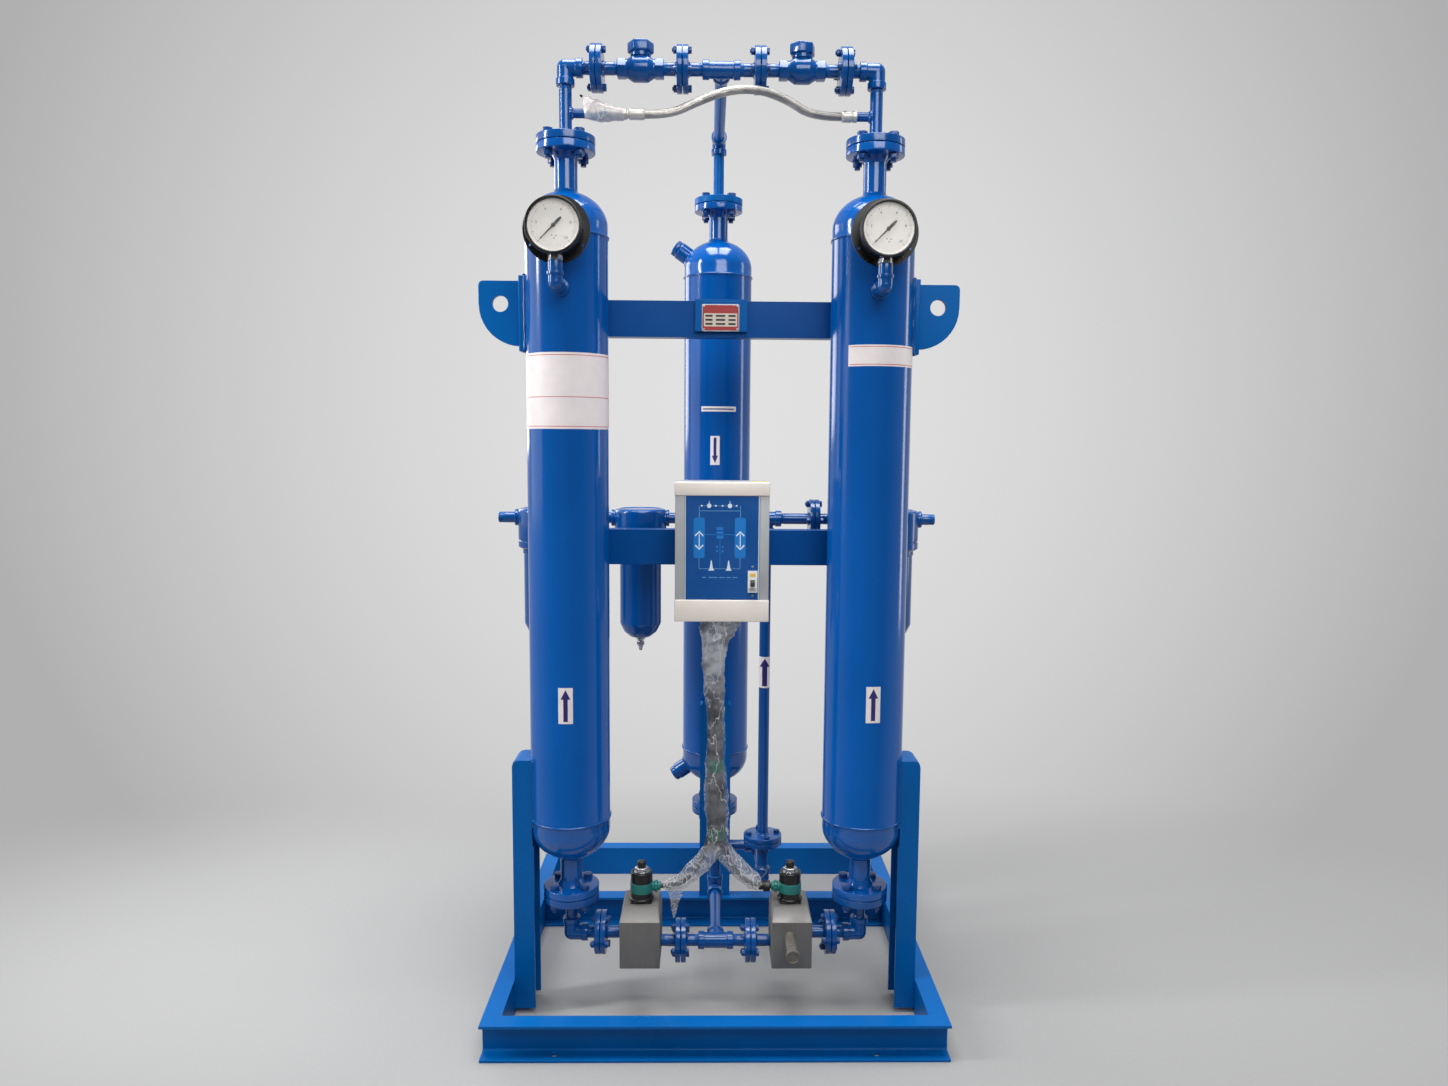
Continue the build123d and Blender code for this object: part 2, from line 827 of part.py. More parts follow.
def check_flap(side):
    """The valve's flap: a disc on an arm with a bored knuckle on the body's pin."""
    face_x = side * (check_valve_x + check_seat_offset - flap_seat_gap)
    pivot_x = face_x - side * flap_thickness / 2
    disc = Plane(origin=(face_x, tower_y, top_axis_z), x_dir=(0, 1, 0), z_dir=(-side, 0, 0))
    knuckle = Plane(
        origin=(pivot_x, tower_y - flap_knuckle_length / 2, top_axis_z + flap_pivot_height),
        x_dir=(1, 0, 0),
        z_dir=(0, 1, 0),
    )
    with BuildPart() as flap:
        with BuildSketch(disc):
            Circle(flap_radius)
            with Locations((0, -side * flap_pivot_height / 2)):
                Rectangle(flap_arm_width, flap_pivot_height)
        extrude(amount=flap_thickness)
        with BuildSketch(knuckle):
            Circle(flap_knuckle_radius)
        extrude(amount=flap_knuckle_length)
        with BuildSketch(knuckle):
            Circle(flap_pin_radius + running_gap)
        extrude(amount=flap_knuckle_length, mode=Mode.SUBTRACT)
    return flap.part


check_bodies = [check_valve_body(side) for side in sides]
with BuildPart() as check_valve_bodies:
    add(check_bodies)
nodes["check_valve_bodies"] = check_valve_bodies

with BuildPart() as check_valve_caps:
    cap_places = [(side * check_valve_x, tower_y) for side in sides]
    cap_z = top_axis_z + check_neck_top
    with BuildSketch(Plane.XY.offset(cap_z)):
        with Locations(cap_places):
            Circle(check_chamber_radius - seat_gap)
    extrude(amount=-check_cap_skirt)
    with BuildSketch(Plane.XY.offset(cap_z)):
        with Locations(cap_places):
            RegularPolygon(check_cap_hex / 2, 6, major_radius=False)
    extrude(amount=check_cap_height)
    top_faces = check_valve_caps.faces().filter_by(Axis.Z).group_by(Axis.Z)[-1]
    chamfer(top_faces.edges(), 3)
nodes["check_valve_caps"] = check_valve_caps

left_flap = check_flap(-1)
right_flap = check_flap(1)
with BuildPart() as left_check_flap:
    add(left_flap)
nodes["left_check_flap"] = left_check_flap
with BuildPart() as right_check_flap:
    add(right_flap)
nodes["right_check_flap"] = right_check_flap

# The two tees; each branch runs back towards the pipe plane
upper_tee = tee((0, tower_y, top_axis_z), (0, 1, 0))
lower_tee = tee((0, tower_y, inlet_drop_z), (0, 1, 0))
with BuildPart() as pipe_tees:
    add(upper_tee)
    add(lower_tee)
nodes["pipe_tees"] = pipe_tees

# Dry air from the upper tee back to the vessel
crossover_pipe = pipe(
    (0, tower_y + tee_reach, top_axis_z), (0, 1, 0), vessel_y - tower_y - tee_reach - elbow_reach
)
vessel_drop_length = (
    top_axis_z - elbow_reach - vessel_top_joint_z - half_gasket - large_flange_thickness
)
vessel_drop_pipe = flanged_pipe((0, vessel_y, vessel_top_joint_z), (0, 0, 1), vessel_drop_length, large=True)
with BuildPart() as vessel_top_pipes:
    add(crossover_pipe)
    add(vessel_drop_pipe)
nodes["vessel_top_pipes"] = vessel_top_pipes

# Fittings at both ends of the purge hose
with BuildPart() as hose_fittings:
    left_end = Plane(origin=(-purge_stub_end_x, tower_y, purge_z), z_dir=(1, 0, 0))
    fitting_run = left_fitting_length
    with BuildSketch(left_end):
        Circle(hose_diameter / 2)
    extrude(amount=fitting_run)
    long_start = fitting_run - long_nut_length
    short_start = long_start - hose_nut_gap - short_nut_length
    for nut_start, nut_length in ((long_start, long_nut_length), (short_start, short_nut_length)):
        with BuildSketch(left_end.offset(nut_start)):
            RegularPolygon(hose_nut_hex / 2, 6, major_radius=False)
        extrude(amount=nut_length)
    with BuildSketch(Plane(origin=(purge_stub_end_x, tower_y, purge_z), z_dir=(-1, 0, 0))):
        RegularPolygon(hose_nut_hex / 2, 6, major_radius=False)
    extrude(amount=purge_stub_end_x - right_hose_x)
nodes["hose_fittings"] = hose_fittings

# Lower manifold
drop_length = (
    tower_bottom_joint_z - half_gasket - large_flange_thickness - bottom_axis_z - elbow_reach
)
drop_pipes = [
    flanged_pipe((side * tower_x, tower_y, tower_bottom_joint_z), (0, 0, -1), drop_length, large=True)
    for side in sides
]
with BuildPart() as bottom_drop_pipes:
    add(drop_pipes)
nodes["bottom_drop_pipes"] = bottom_drop_pipes

bottom_nipples = []
for side in sides:
    outer_joint = (side * outer_bottom_joint_x, tower_y, bottom_axis_z)
    inner_joint = (side * inner_bottom_joint_x, tower_y, inlet_drop_z)
    out = (side, 0, 0)
    inwards = (-side, 0, 0)
    bottom_nipples.append(flanged_pipe(outer_joint, out, bottom_outer))
    bottom_nipples.append(flanged_pipe(outer_joint, inwards, block_outer))
    bottom_nipples.append(flanged_pipe(inner_joint, out, block_inner))
    bottom_nipples.append(flanged_pipe(inner_joint, inwards, bottom_inner))
with BuildPart() as bottom_flanged_nipples:
    add(bottom_nipples)
nodes["bottom_flanged_nipples"] = bottom_flanged_nipples

# Changeover valve blocks: machined steel, sloped at the front and sides of the top
block_middle_y = block_back_y - block_depth / 2
block_top_depth = block_depth - block_front_slope
with BuildPart() as valve_blocks:
    for side in sides:
        centre_x = side * block_x
        with BuildSketch(Plane.XY.offset(block_bottom_z)):
            with Locations((centre_x, block_middle_y)):
                Rectangle(block_width, block_depth)
        extrude(amount=block_shoulder_z - block_bottom_z)
        with BuildSketch(Plane.XY.offset(block_shoulder_z)):
            with Locations((centre_x, block_middle_y)):
                Rectangle(block_width, block_depth)
        with BuildSketch(Plane.XY.offset(block_top_z)):
            with Locations((centre_x, block_back_y - block_top_depth / 2)):
                Rectangle(block_width - 2 * block_side_slope, block_top_depth)
        loft()
        outer_port = Plane(origin=(side * block_outer_x, tower_y, bottom_axis_z), z_dir=(-side, 0, 0))
        inner_port = Plane(origin=(side * block_inner_x, tower_y, inlet_drop_z), z_dir=(side, 0, 0))
        for port in (outer_port, inner_port):
            with BuildSketch(port):
                Circle(pipe_bore / 2)
            extrude(amount=block_width / 2, mode=Mode.SUBTRACT)
        with BuildSketch(Plane(origin=(centre_x, coil_y, inlet_drop_z), z_dir=(0, 0, 1))):
            Circle(block_seat_bore / 2)
        extrude(amount=block_top_z - inlet_drop_z, mode=Mode.SUBTRACT)
    with BuildSketch(Plane(origin=(silencer_x, block_front_y, silencer_z), z_dir=(0, 1, 0))):
        Circle(silencer_thread_diameter / 2 + weld_gap)
    extrude(amount=block_depth / 2, mode=Mode.SUBTRACT)
nodes["valve_blocks"] = valve_blocks

with BuildPart() as exhaust_silencer:
    outward = Plane(origin=(silencer_x, block_front_y, silencer_z), z_dir=(0, -1, 0))
    with BuildSketch(outward.offset(-silencer_thread_length)):
        Circle(silencer_thread_diameter / 2)
    extrude(amount=silencer_thread_length)
    with BuildSketch(outward):
        Circle(silencer_diameter / 2)
    extrude(amount=silencer_length)
    with BuildSketch(outward.offset(silencer_length - silencer_cap_length)):
        Circle(silencer_cap_diameter / 2)
    extrude(amount=silencer_cap_length)
    with BuildSketch(outward.offset(-silencer_thread_length)):
        Circle(silencer_thread_diameter / 2 - 4)
    extrude(amount=silencer_thread_length + silencer_length - silencer_cap_length, mode=Mode.SUBTRACT)
nodes["exhaust_silencer"] = exhaust_silencer

# Solenoid operators on the blocks
coil_places = [(side * block_x, coil_y) for side in sides]
coil_top_z = block_top_z + coil_height
with BuildPart() as solenoid_coils:
    with BuildSketch(Plane.XY.offset(block_top_z)):
        with Locations(coil_places):
            RectangleRounded(coil_base_width, coil_base_width, 8)
    extrude(amount=coil_base_height)
    with BuildSketch(Plane.XY.offset(block_top_z)):
        with Locations(coil_places):
            Circle(coil_diameter / 2)
    extrude(amount=coil_height)
    rim = solenoid_coils.faces().filter_by(Axis.Z).group_by(Axis.Z)[-1]
    chamfer(rim.edges(), 4)
    with BuildSketch(Plane.XY.offset(block_top_z)):
        with Locations(coil_places):
            Circle(coil_bore / 2)
    extrude(amount=coil_height - 8, mode=Mode.SUBTRACT)
nodes["solenoid_coils"] = solenoid_coils

with BuildPart() as solenoid_connectors:
    for side in sides:
        with BuildSketch(Plane.XY.offset(block_top_z + band_bottom)):
            with Locations((side * block_x, coil_y)):
                Circle(coil_diameter / 2 + band_reach)
        extrude(amount=band_height)
        gland_axis = Plane(
            origin=(side * block_x, coil_y, block_top_z + band_bottom + band_height / 2),
            z_dir=(-side, 0, 0),
        )
        with BuildSketch(gland_axis):
            Circle(gland_diameter / 2 - 1)
        extrude(amount=gland_reach)
    with BuildSketch(Plane.XY.offset(block_top_z)):
        with Locations(coil_places):
            Circle(coil_diameter / 2 + weld_gap)
    extrude(amount=coil_height, mode=Mode.SUBTRACT)
nodes["solenoid_connectors"] = solenoid_connectors

with BuildPart() as solenoid_nuts:
    with BuildSketch(Plane.XY.offset(coil_top_z)):
        with Locations(coil_places):
            RegularPolygon(coil_nut_hex / 2, 6, major_radius=False)
    extrude(amount=coil_nut_height)
    with BuildSketch(Plane.XY.offset(coil_top_z + coil_nut_height)):
        with Locations(coil_places):
            Circle(coil_cap_diameter / 2)
    extrude(amount=coil_cap_height)
nodes["solenoid_nuts"] = solenoid_nuts


def plunger(side):
    """A solenoid plunger resting on the block's rim, with a tapered nose."""
    rod_radius = coil_bore / 2 - running_gap
    with BuildPart() as core:
        with BuildSketch(Plane(origin=(side * block_x, coil_y, block_top_z))):
            Circle(rod_radius)
        extrude(amount=plunger_length)
        chamfer(core.edges().filter_by(GeomType.CIRCLE).group_by(Axis.Z)[-1], 1)
    return core.part


left_core = plunger(-1)
right_core = plunger(1)
with BuildPart() as left_plunger:
    add(left_core)
nodes["left_plunger"] = left_plunger
with BuildPart() as right_plunger:
    add(right_core)
nodes["right_plunger"] = right_plunger

# Filters hanging on the pipe plane
filter_places = [(x, line_y) for x in (prefilter_x, fine_filter_x, after_filter_x)]


def filter_head(x):
    """A cast filter head: domed lid edge, two port bosses and a threaded skirt for the bowl."""
    inner_radius = filter_head_radius - filter_wall
    axis_plane = Plane(origin=(x, line_y, 0), x_dir=(1, 0, 0), z_dir=(0, -1, 0))
    skirt_radius = bowl_radius + filter_wall
    with BuildPart() as head:
        with BuildSketch(axis_plane):
            with BuildLine():
                Polyline(
                    (0, filter_head_top_z),
                    (filter_head_radius - 12, filter_head_top_z),
                    (filter_head_radius, filter_head_top_z - 10),
                    (filter_head_radius, filter_head_bottom_z + 30),
                    (skirt_radius, filter_head_bottom_z + 10),
                    (skirt_radius, filter_head_bottom_z),
                    (bowl_radius + weld_gap, filter_head_bottom_z),
                    (bowl_radius + weld_gap, filter_head_bottom_z + bowl_overlap + seat_gap),
                    (inner_radius, filter_head_bottom_z + bowl_overlap + 18),
                    (inner_radius, filter_head_top_z - 2 * filter_wall),
                    (0, filter_head_top_z - 2 * filter_wall),
                    close=True,
                )
            make_face()
        revolve(axis=Axis((x, line_y, 0), (0, 0, 1)))
        for side in sides:
            port = Plane(origin=(x, line_y, line_z), z_dir=(side, 0, 0))
            with BuildSketch(port.offset(inner_radius + filter_wall / 2)):
                Circle(filter_port_diameter / 2)
            extrude(amount=filter_port_reach - inner_radius - filter_wall / 2)
            with BuildSketch(port.offset(inner_radius - 3 * filter_wall)):
                Circle(pipe_bore / 2)
            extrude(amount=filter_port_reach, mode=Mode.SUBTRACT)
    return head.part


def filter_bowl(x):
    """A filter bowl with a dished bottom, open at the top."""
    inner_radius = bowl_radius - bowl_wall
    top_z = filter_head_bottom_z + bowl_overlap
    low_z = bowl_bottom_z + bowl_dome_height
    outer = dish_points(bowl_radius, bowl_dome_height, low_z, -1, drain_diameter / 2, hollow_steps)
    inner_height = bowl_dome_height - bowl_wall
    inner = dish_points(inner_radius, inner_height, low_z, -1, drain_diameter / 2, hollow_steps)
    with BuildPart() as bowl:
        with BuildSketch(Plane(origin=(x, line_y, 0), x_dir=(1, 0, 0), z_dir=(0, -1, 0))):
            with BuildLine():
                Polyline(
                    (0, outer[-1][1]),
                    *outer[::-1],
                    (bowl_radius, top_z),
                    (inner_radius, top_z),
                    *inner,
                    (0, inner[-1][1]),
                    close=True,
                )
            make_face()
        revolve(axis=Axis((x, line_y, 0), (0, 0, 1)))
    return bowl.part


bowl_flat_z = dish_points(
    bowl_radius, bowl_dome_height, bowl_bottom_z + bowl_dome_height, -1, drain_diameter / 2, 1
)[-1][1]
heads = [filter_head(x) for x, y in filter_places]
with BuildPart() as filter_heads:
    add(heads)
nodes["filter_heads"] = filter_heads

bowls = [filter_bowl(x) for x, y in filter_places]
with BuildPart() as filter_bowls:
    add(bowls)
nodes["filter_bowls"] = filter_bowls

element_top_z = filter_head_top_z - 2 * filter_wall
with BuildPart() as filter_elements:
    with BuildSketch(Plane.XY.offset(element_top_z - element_cap_height)):
        with Locations(filter_places):
            Circle(pipe_diameter / 2)
    extrude(amount=element_cap_height)
    stem_bottom_z = line_z - pipe_diameter
    with BuildSketch(Plane.XY.offset(stem_bottom_z)):
        with Locations(filter_places):
            Circle(pipe_diameter / 2)
    extrude(amount=element_top_z - stem_bottom_z)
    with BuildSketch(Plane.XY.offset(stem_bottom_z - element_length)):
        with Locations(filter_places):
            Circle(element_radius)
    extrude(amount=element_length)
nodes["filter_elements"] = filter_elements

with BuildPart() as filter_drains:
    with BuildSketch(Plane.XY.offset(bowl_flat_z)):
        with Locations(filter_places):
            RegularPolygon(drain_diameter / 2, 6, major_radius=False)
    extrude(amount=-drain_nut_height)
    with BuildSketch(Plane.XY.offset(bowl_flat_z - drain_nut_height)):
        with Locations(filter_places):
            Circle(drain_diameter / 2 - 3)
    extrude(amount=-(drain_length - drain_nut_height), taper=6)
nodes["filter_drains"] = filter_drains

# Inlet line: stub, the two filters, then down and forward to the lower tee
inlet_runs = [
    pipe(
        (-port_stub_end_x, line_y, line_z),
        (1, 0, 0),
        port_stub_end_x + prefilter_x - filter_port_reach,
    ),
    pipe(
        (prefilter_x + filter_port_reach, line_y, line_z),
        (1, 0, 0),
        fine_filter_x - prefilter_x - 2 * filter_port_reach,
    ),
    pipe(
        (fine_filter_x + filter_port_reach, line_y, line_z),
        (1, 0, 0),
        -fine_filter_x - filter_port_reach - elbow_reach,
    ),
    pipe(
        (0, line_y, inlet_drop_z + elbow_reach),
        (0, 0, 1),
        line_z - inlet_drop_z - 2 * elbow_reach,
    ),
    pipe(
        (0, tower_y + tee_reach, inlet_drop_z),
        (0, 1, 0),
        line_y - tower_y - tee_reach - elbow_reach,
    ),
]
with BuildPart() as inlet_pipes:
    add(inlet_runs)
    with BuildSketch(Plane(origin=(-port_stub_end_x, line_y, line_z), z_dir=(1, 0, 0))):
        Circle(pipe_bore / 2)
    extrude(amount=port_bore_depth, mode=Mode.SUBTRACT)
nodes["inlet_pipes"] = inlet_pipes

# Outlet line: under the vessel, to the right, forward, up the riser and out by the after-filter
outlet_runs = [
    flanged_pipe(
        (0, vessel_y, vessel_bottom_joint_z),
        (0, 0, -1),
        vessel_bottom_joint_z - half_gasket - large_flange_thickness - outlet_low_z - elbow_reach,
        large=True,
    ),
    pipe((elbow_reach, vessel_y, outlet_low_z), (1, 0, 0), outlet_riser_x - 2 * elbow_reach),
    pipe(
        (outlet_riser_x, line_y + elbow_reach, outlet_low_z),
        (0, 1, 0),
        vessel_y - line_y - 2 * elbow_reach,
    ),
    flanged_pipe(
        (outlet_riser_x, line_y, riser_joint_z),
        (0, 0, -1),
        riser_joint_z - flange_depth - outlet_low_z - elbow_reach,
    ),
    flanged_pipe(
        (outlet_riser_x, line_y, riser_joint_z),
        (0, 0, 1),
        line_z - elbow_reach - riser_joint_z - flange_depth,
    ),
    flanged_pipe(
        (outlet_joint_x, line_y, line_z),
        (-1, 0, 0),
        outlet_joint_x - flange_depth - outlet_riser_x - elbow_reach,
    ),
    flanged_pipe(
        (outlet_joint_x, line_y, line_z),
        (1, 0, 0),
        after_filter_x - filter_port_reach - outlet_joint_x - flange_depth,
    ),
    pipe(
        (after_filter_x + filter_port_reach, line_y, line_z),
        (1, 0, 0),
        port_stub_end_x - after_filter_x - filter_port_reach,
    ),
]
with BuildPart() as outlet_pipes:
    add(outlet_runs)
    with BuildSketch(Plane(origin=(port_stub_end_x, line_y, line_z), z_dir=(-1, 0, 0))):
        Circle(pipe_bore / 2)
    extrude(amount=port_bore_depth, mode=Mode.SUBTRACT)
nodes["outlet_pipes"] = outlet_pipes

line_turns = [
    elbow((0, line_y, line_z), (-1, 0, 0), (0, 0, -1)),
    elbow((0, line_y, inlet_drop_z), (0, 0, 1), (0, -1, 0)),
    elbow((0, vessel_y, outlet_low_z), (0, 0, 1), (1, 0, 0)),
    elbow((outlet_riser_x, vessel_y, outlet_low_z), (-1, 0, 0), (0, -1, 0)),
    elbow((outlet_riser_x, line_y, outlet_low_z), (0, 1, 0), (0, 0, 1)),
    elbow((outlet_riser_x, line_y, line_z), (0, 0, -1), (1, 0, 0)),
]
with BuildPart() as line_elbows:
    add(line_turns)
nodes["line_elbows"] = line_elbows

# Packing of every flange pair
large_joints = [
    ((side * tower_x, tower_y, z), (0, 0, 1))
    for side in sides
    for z in (tower_bottom_joint_z, tower_top_joint_z)
]
large_joints += [((0, vessel_y, z), (0, 0, 1)) for z in (vessel_bottom_joint_z, vessel_top_joint_z)]
manifold_joints = (
    (outer_joint_x, top_axis_z),
    (inner_joint_x, top_axis_z),
    (outer_bottom_joint_x, bottom_axis_z),
    (inner_bottom_joint_x, inlet_drop_z),
)
small_joints = [((side * x, tower_y, z), (1, 0, 0)) for side in sides for x, z in manifold_joints]
small_joints += [
    ((outlet_riser_x, line_y, riser_joint_z), (0, 0, 1)),
    ((outlet_joint_x, line_y, line_z), (1, 0, 0)),
]
packings = [gasket(joint, run, large_gasket_diameter) for joint, run in large_joints]
packings += [gasket(joint, run, small_gasket_diameter) for joint, run in small_joints]
with BuildPart() as flange_gaskets:
    add(packings)
nodes["flange_gaskets"] = flange_gaskets

# Pressure gauges
gauge_front_y = gauge_y - gauge_flange_thickness - gauge_case_depth
bezel_front_y = gauge_front_y - gauge_bezel_depth
dial_face_y = bezel_front_y + dial_depth
case_inner_radius = gauge_case_diameter / 2 - gauge_wall


def gauge_case(side):
    """A round gauge case with a back flange, a bezel and a pressure socket below."""
    back = Plane(origin=(side * tower_x, gauge_y, gauge_z), x_dir=(1, 0, 0), z_dir=(0, -1, 0))
    depth = gauge_flange_thickness + gauge_case_depth
    with BuildPart() as case:
        with BuildSketch(back):
            Circle(gauge_flange_diameter / 2)
        extrude(amount=gauge_flange_thickness)
        with BuildSketch(back.offset(gauge_flange_thickness)):
            Circle(gauge_case_diameter / 2)
        extrude(amount=gauge_case_depth)
        with BuildSketch(back.offset(depth)):
            Circle(gauge_bezel_diameter / 2)
        extrude(amount=gauge_bezel_depth)
        chamfer(case.edges().filter_by(GeomType.CIRCLE).group_by(Axis.Y)[0], 2)
        with BuildSketch(back.offset(gauge_flange_thickness)):
            Circle(case_inner_radius)
        extrude(amount=gauge_case_depth + gauge_bezel_depth - glass_depth, mode=Mode.SUBTRACT)
        with BuildSketch(back.offset(depth)):
            Circle(gauge_bezel_diameter / 2 - gauge_bezel_lip)
        extrude(amount=gauge_bezel_depth, mode=Mode.SUBTRACT)
    return case.part


def gauge_pointer(side):
    """A pointer at zero, low on the left, with its tail, hub and shaft."""
    pointer_back = dial_face_y - pointer_gap
    centre = (side * tower_x, pointer_back, gauge_z)
    needle = Plane(origin=centre, x_dir=(-1, 0, -1), z_dir=(0, -1, 0))
    with BuildPart() as pointer:
        with BuildSketch(needle):
            Circle(pointer_hub_radius)
            with BuildLine():
                Polyline((0, 2.2), (pointer_length, 0.5), (pointer_length, -0.5), (0, -2.2), close=True)
            make_face()
            with Locations((-pointer_tail / 2, 0)):
                Rectangle(pointer_tail, 5)
        extrude(amount=pointer_thickness)
        with BuildSketch(needle):
            Circle(pointer_shaft_radius)
        extrude(amount=-(pointer_gap + dial_thickness + 4))
    return pointer.part


gauge_shells = [gauge_case(side) for side in sides]
with BuildPart() as gauge_cases:
    add(gauge_shells)
nodes["gauge_cases"] = gauge_cases

dial_radius = case_inner_radius - seat_gap
dial_plane = Plane(origin=(0, dial_face_y, gauge_z), x_dir=(1, 0, 0), z_dir=(0, 1, 0))
with BuildPart() as gauge_dials:
    for side in sides:
        with BuildSketch(dial_plane):
            with Locations((side * tower_x, 0)):
                Circle(dial_radius)
                Circle(pointer_shaft_radius + running_gap, mode=Mode.SUBTRACT)
        extrude(amount=dial_thickness)
nodes["gauge_dials"] = gauge_dials

glass_y = bezel_front_y + glass_depth
glass_plane = Plane(origin=(0, glass_y, gauge_z), x_dir=(1, 0, 0), z_dir=(0, 1, 0))
with BuildPart() as gauge_glasses:
    with BuildSketch(glass_plane):
        with Locations([(side * tower_x, 0) for side in sides]):
            Circle(case_inner_radius - seat_gap)
    extrude(amount=glass_thickness)
nodes["gauge_glasses"] = gauge_glasses

left_needle = gauge_pointer(-1)
right_needle = gauge_pointer(1)
with BuildPart() as left_gauge_pointer:
    add(left_needle)
nodes["left_gauge_pointer"] = left_gauge_pointer
with BuildPart() as right_gauge_pointer:
    add(right_needle)
nodes["right_gauge_pointer"] = right_gauge_pointer

# Gauge stems: an elbow from the tower tapping up to the case
tap_face_y = tower_y - vessel_radius - tap_boss_length
stem_top_z = gauge_z - gauge_case_diameter / 2
stem_turns = [
    elbow((side * tower_x, gauge_stem_y, gauge_tap_z), (0, 1, 0), (0, 0, 1), reach=stem_reach,
          body=stem_socket_diameter, collar=stem_collar_diameter, cut=stem_corner_cut, band=stem_band)
    for side in sides
]
with BuildPart() as gauge_stems:
    add(stem_turns)
    for side in sides:
        with BuildSketch(Plane(origin=(side * tower_x, tap_face_y, gauge_tap_z), z_dir=(0, -1, 0))):
            Circle(stem_socket_diameter / 2 - 3)
        extrude(amount=tap_face_y - gauge_stem_y - stem_reach)
        with BuildSketch(Plane(origin=(side * tower_x, gauge_stem_y, gauge_tap_z + stem_reach))):
            Circle(stem_socket_diameter / 2)
        extrude(amount=stem_top_z - gauge_tap_z - stem_reach - stem_hex_length)
        with BuildSketch(Plane(origin=(side * tower_x, gauge_stem_y, stem_top_z - stem_hex_length))):
            RegularPolygon(stem_hex / 2, 6, major_radius=False)
        extrude(amount=stem_hex_length + gauge_wall)
        with BuildSketch(Plane(origin=(side * tower_x, gauge_stem_y, gauge_z), z_dir=(0, 1, 0))):
            Circle(gauge_case_diameter / 2 + weld_gap)
        extrude(amount=stem_hex, both=True, mode=Mode.SUBTRACT)
nodes["gauge_stems"] = gauge_stems

# Timer box: shell, cover with two proud bands, mimic panel, board, breaker and glands
rail_front_y = bar_front_y - bracket_rail_depth
box_depth = rail_front_y - box_front_y - cover_depth
box_height = box_top_z - box_bottom_z
box_middle_z = (box_top_z + box_bottom_z) / 2
cover_back_y = box_front_y + cover_depth
front = Plane(origin=(box_x, cover_back_y, box_middle_z), x_dir=(1, 0, 0), z_dir=(0, -1, 0))
with BuildPart() as box_body:
    with BuildSketch(front):
        RectangleRounded(box_width, box_height, box_corner)
    extrude(amount=-box_depth)
    with BuildSketch(front):
        RectangleRounded(box_width - 2 * box_wall, box_height - 2 * box_wall, box_corner / 2)
    extrude(amount=-(box_depth - box_wall), mode=Mode.SUBTRACT)
    with BuildSketch(Plane(origin=(0, gland_y, box_bottom_z), z_dir=(0, 0, 1))):
        with Locations([(x, 0) for x in gland_x]):
            Circle(cable_diameter / 2 + cable_hole_clearance)
    extrude(amount=box_wall, mode=Mode.SUBTRACT)
nodes["box_body"] = box_body

panel_height = box_height - top_band_height - bottom_band_height
panel_middle_z = box_middle_z + (bottom_band_height - top_band_height) / 2
face_plane = Plane(origin=(box_x, box_front_y + band_proud, box_middle_z), x_dir=(1, 0, 0), z_dir=(0, -1, 0))
breaker_plane = Plane(origin=(breaker_x, box_front_y, breaker_z), x_dir=(1, 0, 0), z_dir=(0, -1, 0))
with BuildPart() as box_cover:
    with BuildSketch(front):
        RectangleRounded(box_width, box_height, box_corner)
    extrude(amount=cover_depth - band_proud)
    with BuildSketch(front):
        RectangleRounded(box_width - 2 * box_wall, box_height - 2 * box_wall, box_corner / 2)
    extrude(amount=cover_depth - band_proud - box_wall, mode=Mode.SUBTRACT)
    with BuildSketch(face_plane):
        with Locations((0, (box_height - top_band_height) / 2)):
            Rectangle(box_width, top_band_height)
        with Locations((0, -(box_height - bottom_band_height) / 2)):
            Rectangle(box_width, bottom_band_height)
    extrude(amount=band_proud)
    with BuildSketch(breaker_plane):
        Rectangle(breaker_width + 2 * seat_gap, breaker_height + 2 * seat_gap)
    extrude(amount=-cover_depth, mode=Mode.SUBTRACT)
nodes["box_cover"] = box_cover

panel_plane = Plane(
    origin=(box_x, box_front_y + band_proud, panel_middle_z), x_dir=(1, 0, 0), z_dir=(0, -1, 0)
)
with BuildPart() as mimic_panel:
    with BuildSketch(panel_plane):
        Rectangle(panel_width, panel_height - 2 * seat_gap)
    extrude(amount=panel_thickness)
    with BuildSketch(breaker_plane):
        Rectangle(breaker_width + 2 * seat_gap, breaker_height + 2 * seat_gap)
    extrude(amount=-cover_depth, mode=Mode.SUBTRACT)
nodes["mimic_panel"] = mimic_panel

with BuildPart() as mounting_rail:
    with BuildSketch(Plane(origin=(box_x, rail_front_y, middle_bar_z), x_dir=(1, 0, 0), z_dir=(0, 1, 0))):
        Rectangle(bracket_rail_width, bracket_rail_height)
    extrude(amount=bracket_rail_depth)
nodes["mounting_rail"] = mounting_rail

board_y = rail_front_y - box_wall - board_standoff
with BuildPart() as timer_board:
    with BuildSketch(Plane(origin=(box_x, board_y, box_middle_z), x_dir=(1, 0, 0), z_dir=(0, -1, 0))):
        Rectangle(board_width, board_height)
    extrude(amount=board_thickness)
    with BuildSketch(Plane(origin=(box_x, board_y, box_middle_z), x_dir=(1, 0, 0), z_dir=(0, 1, 0))):
        with GridLocations(board_width - 20, board_height - 20, 2, 2):
            Circle(4)
    extrude(amount=board_standoff)
nodes["timer_board"] = timer_board

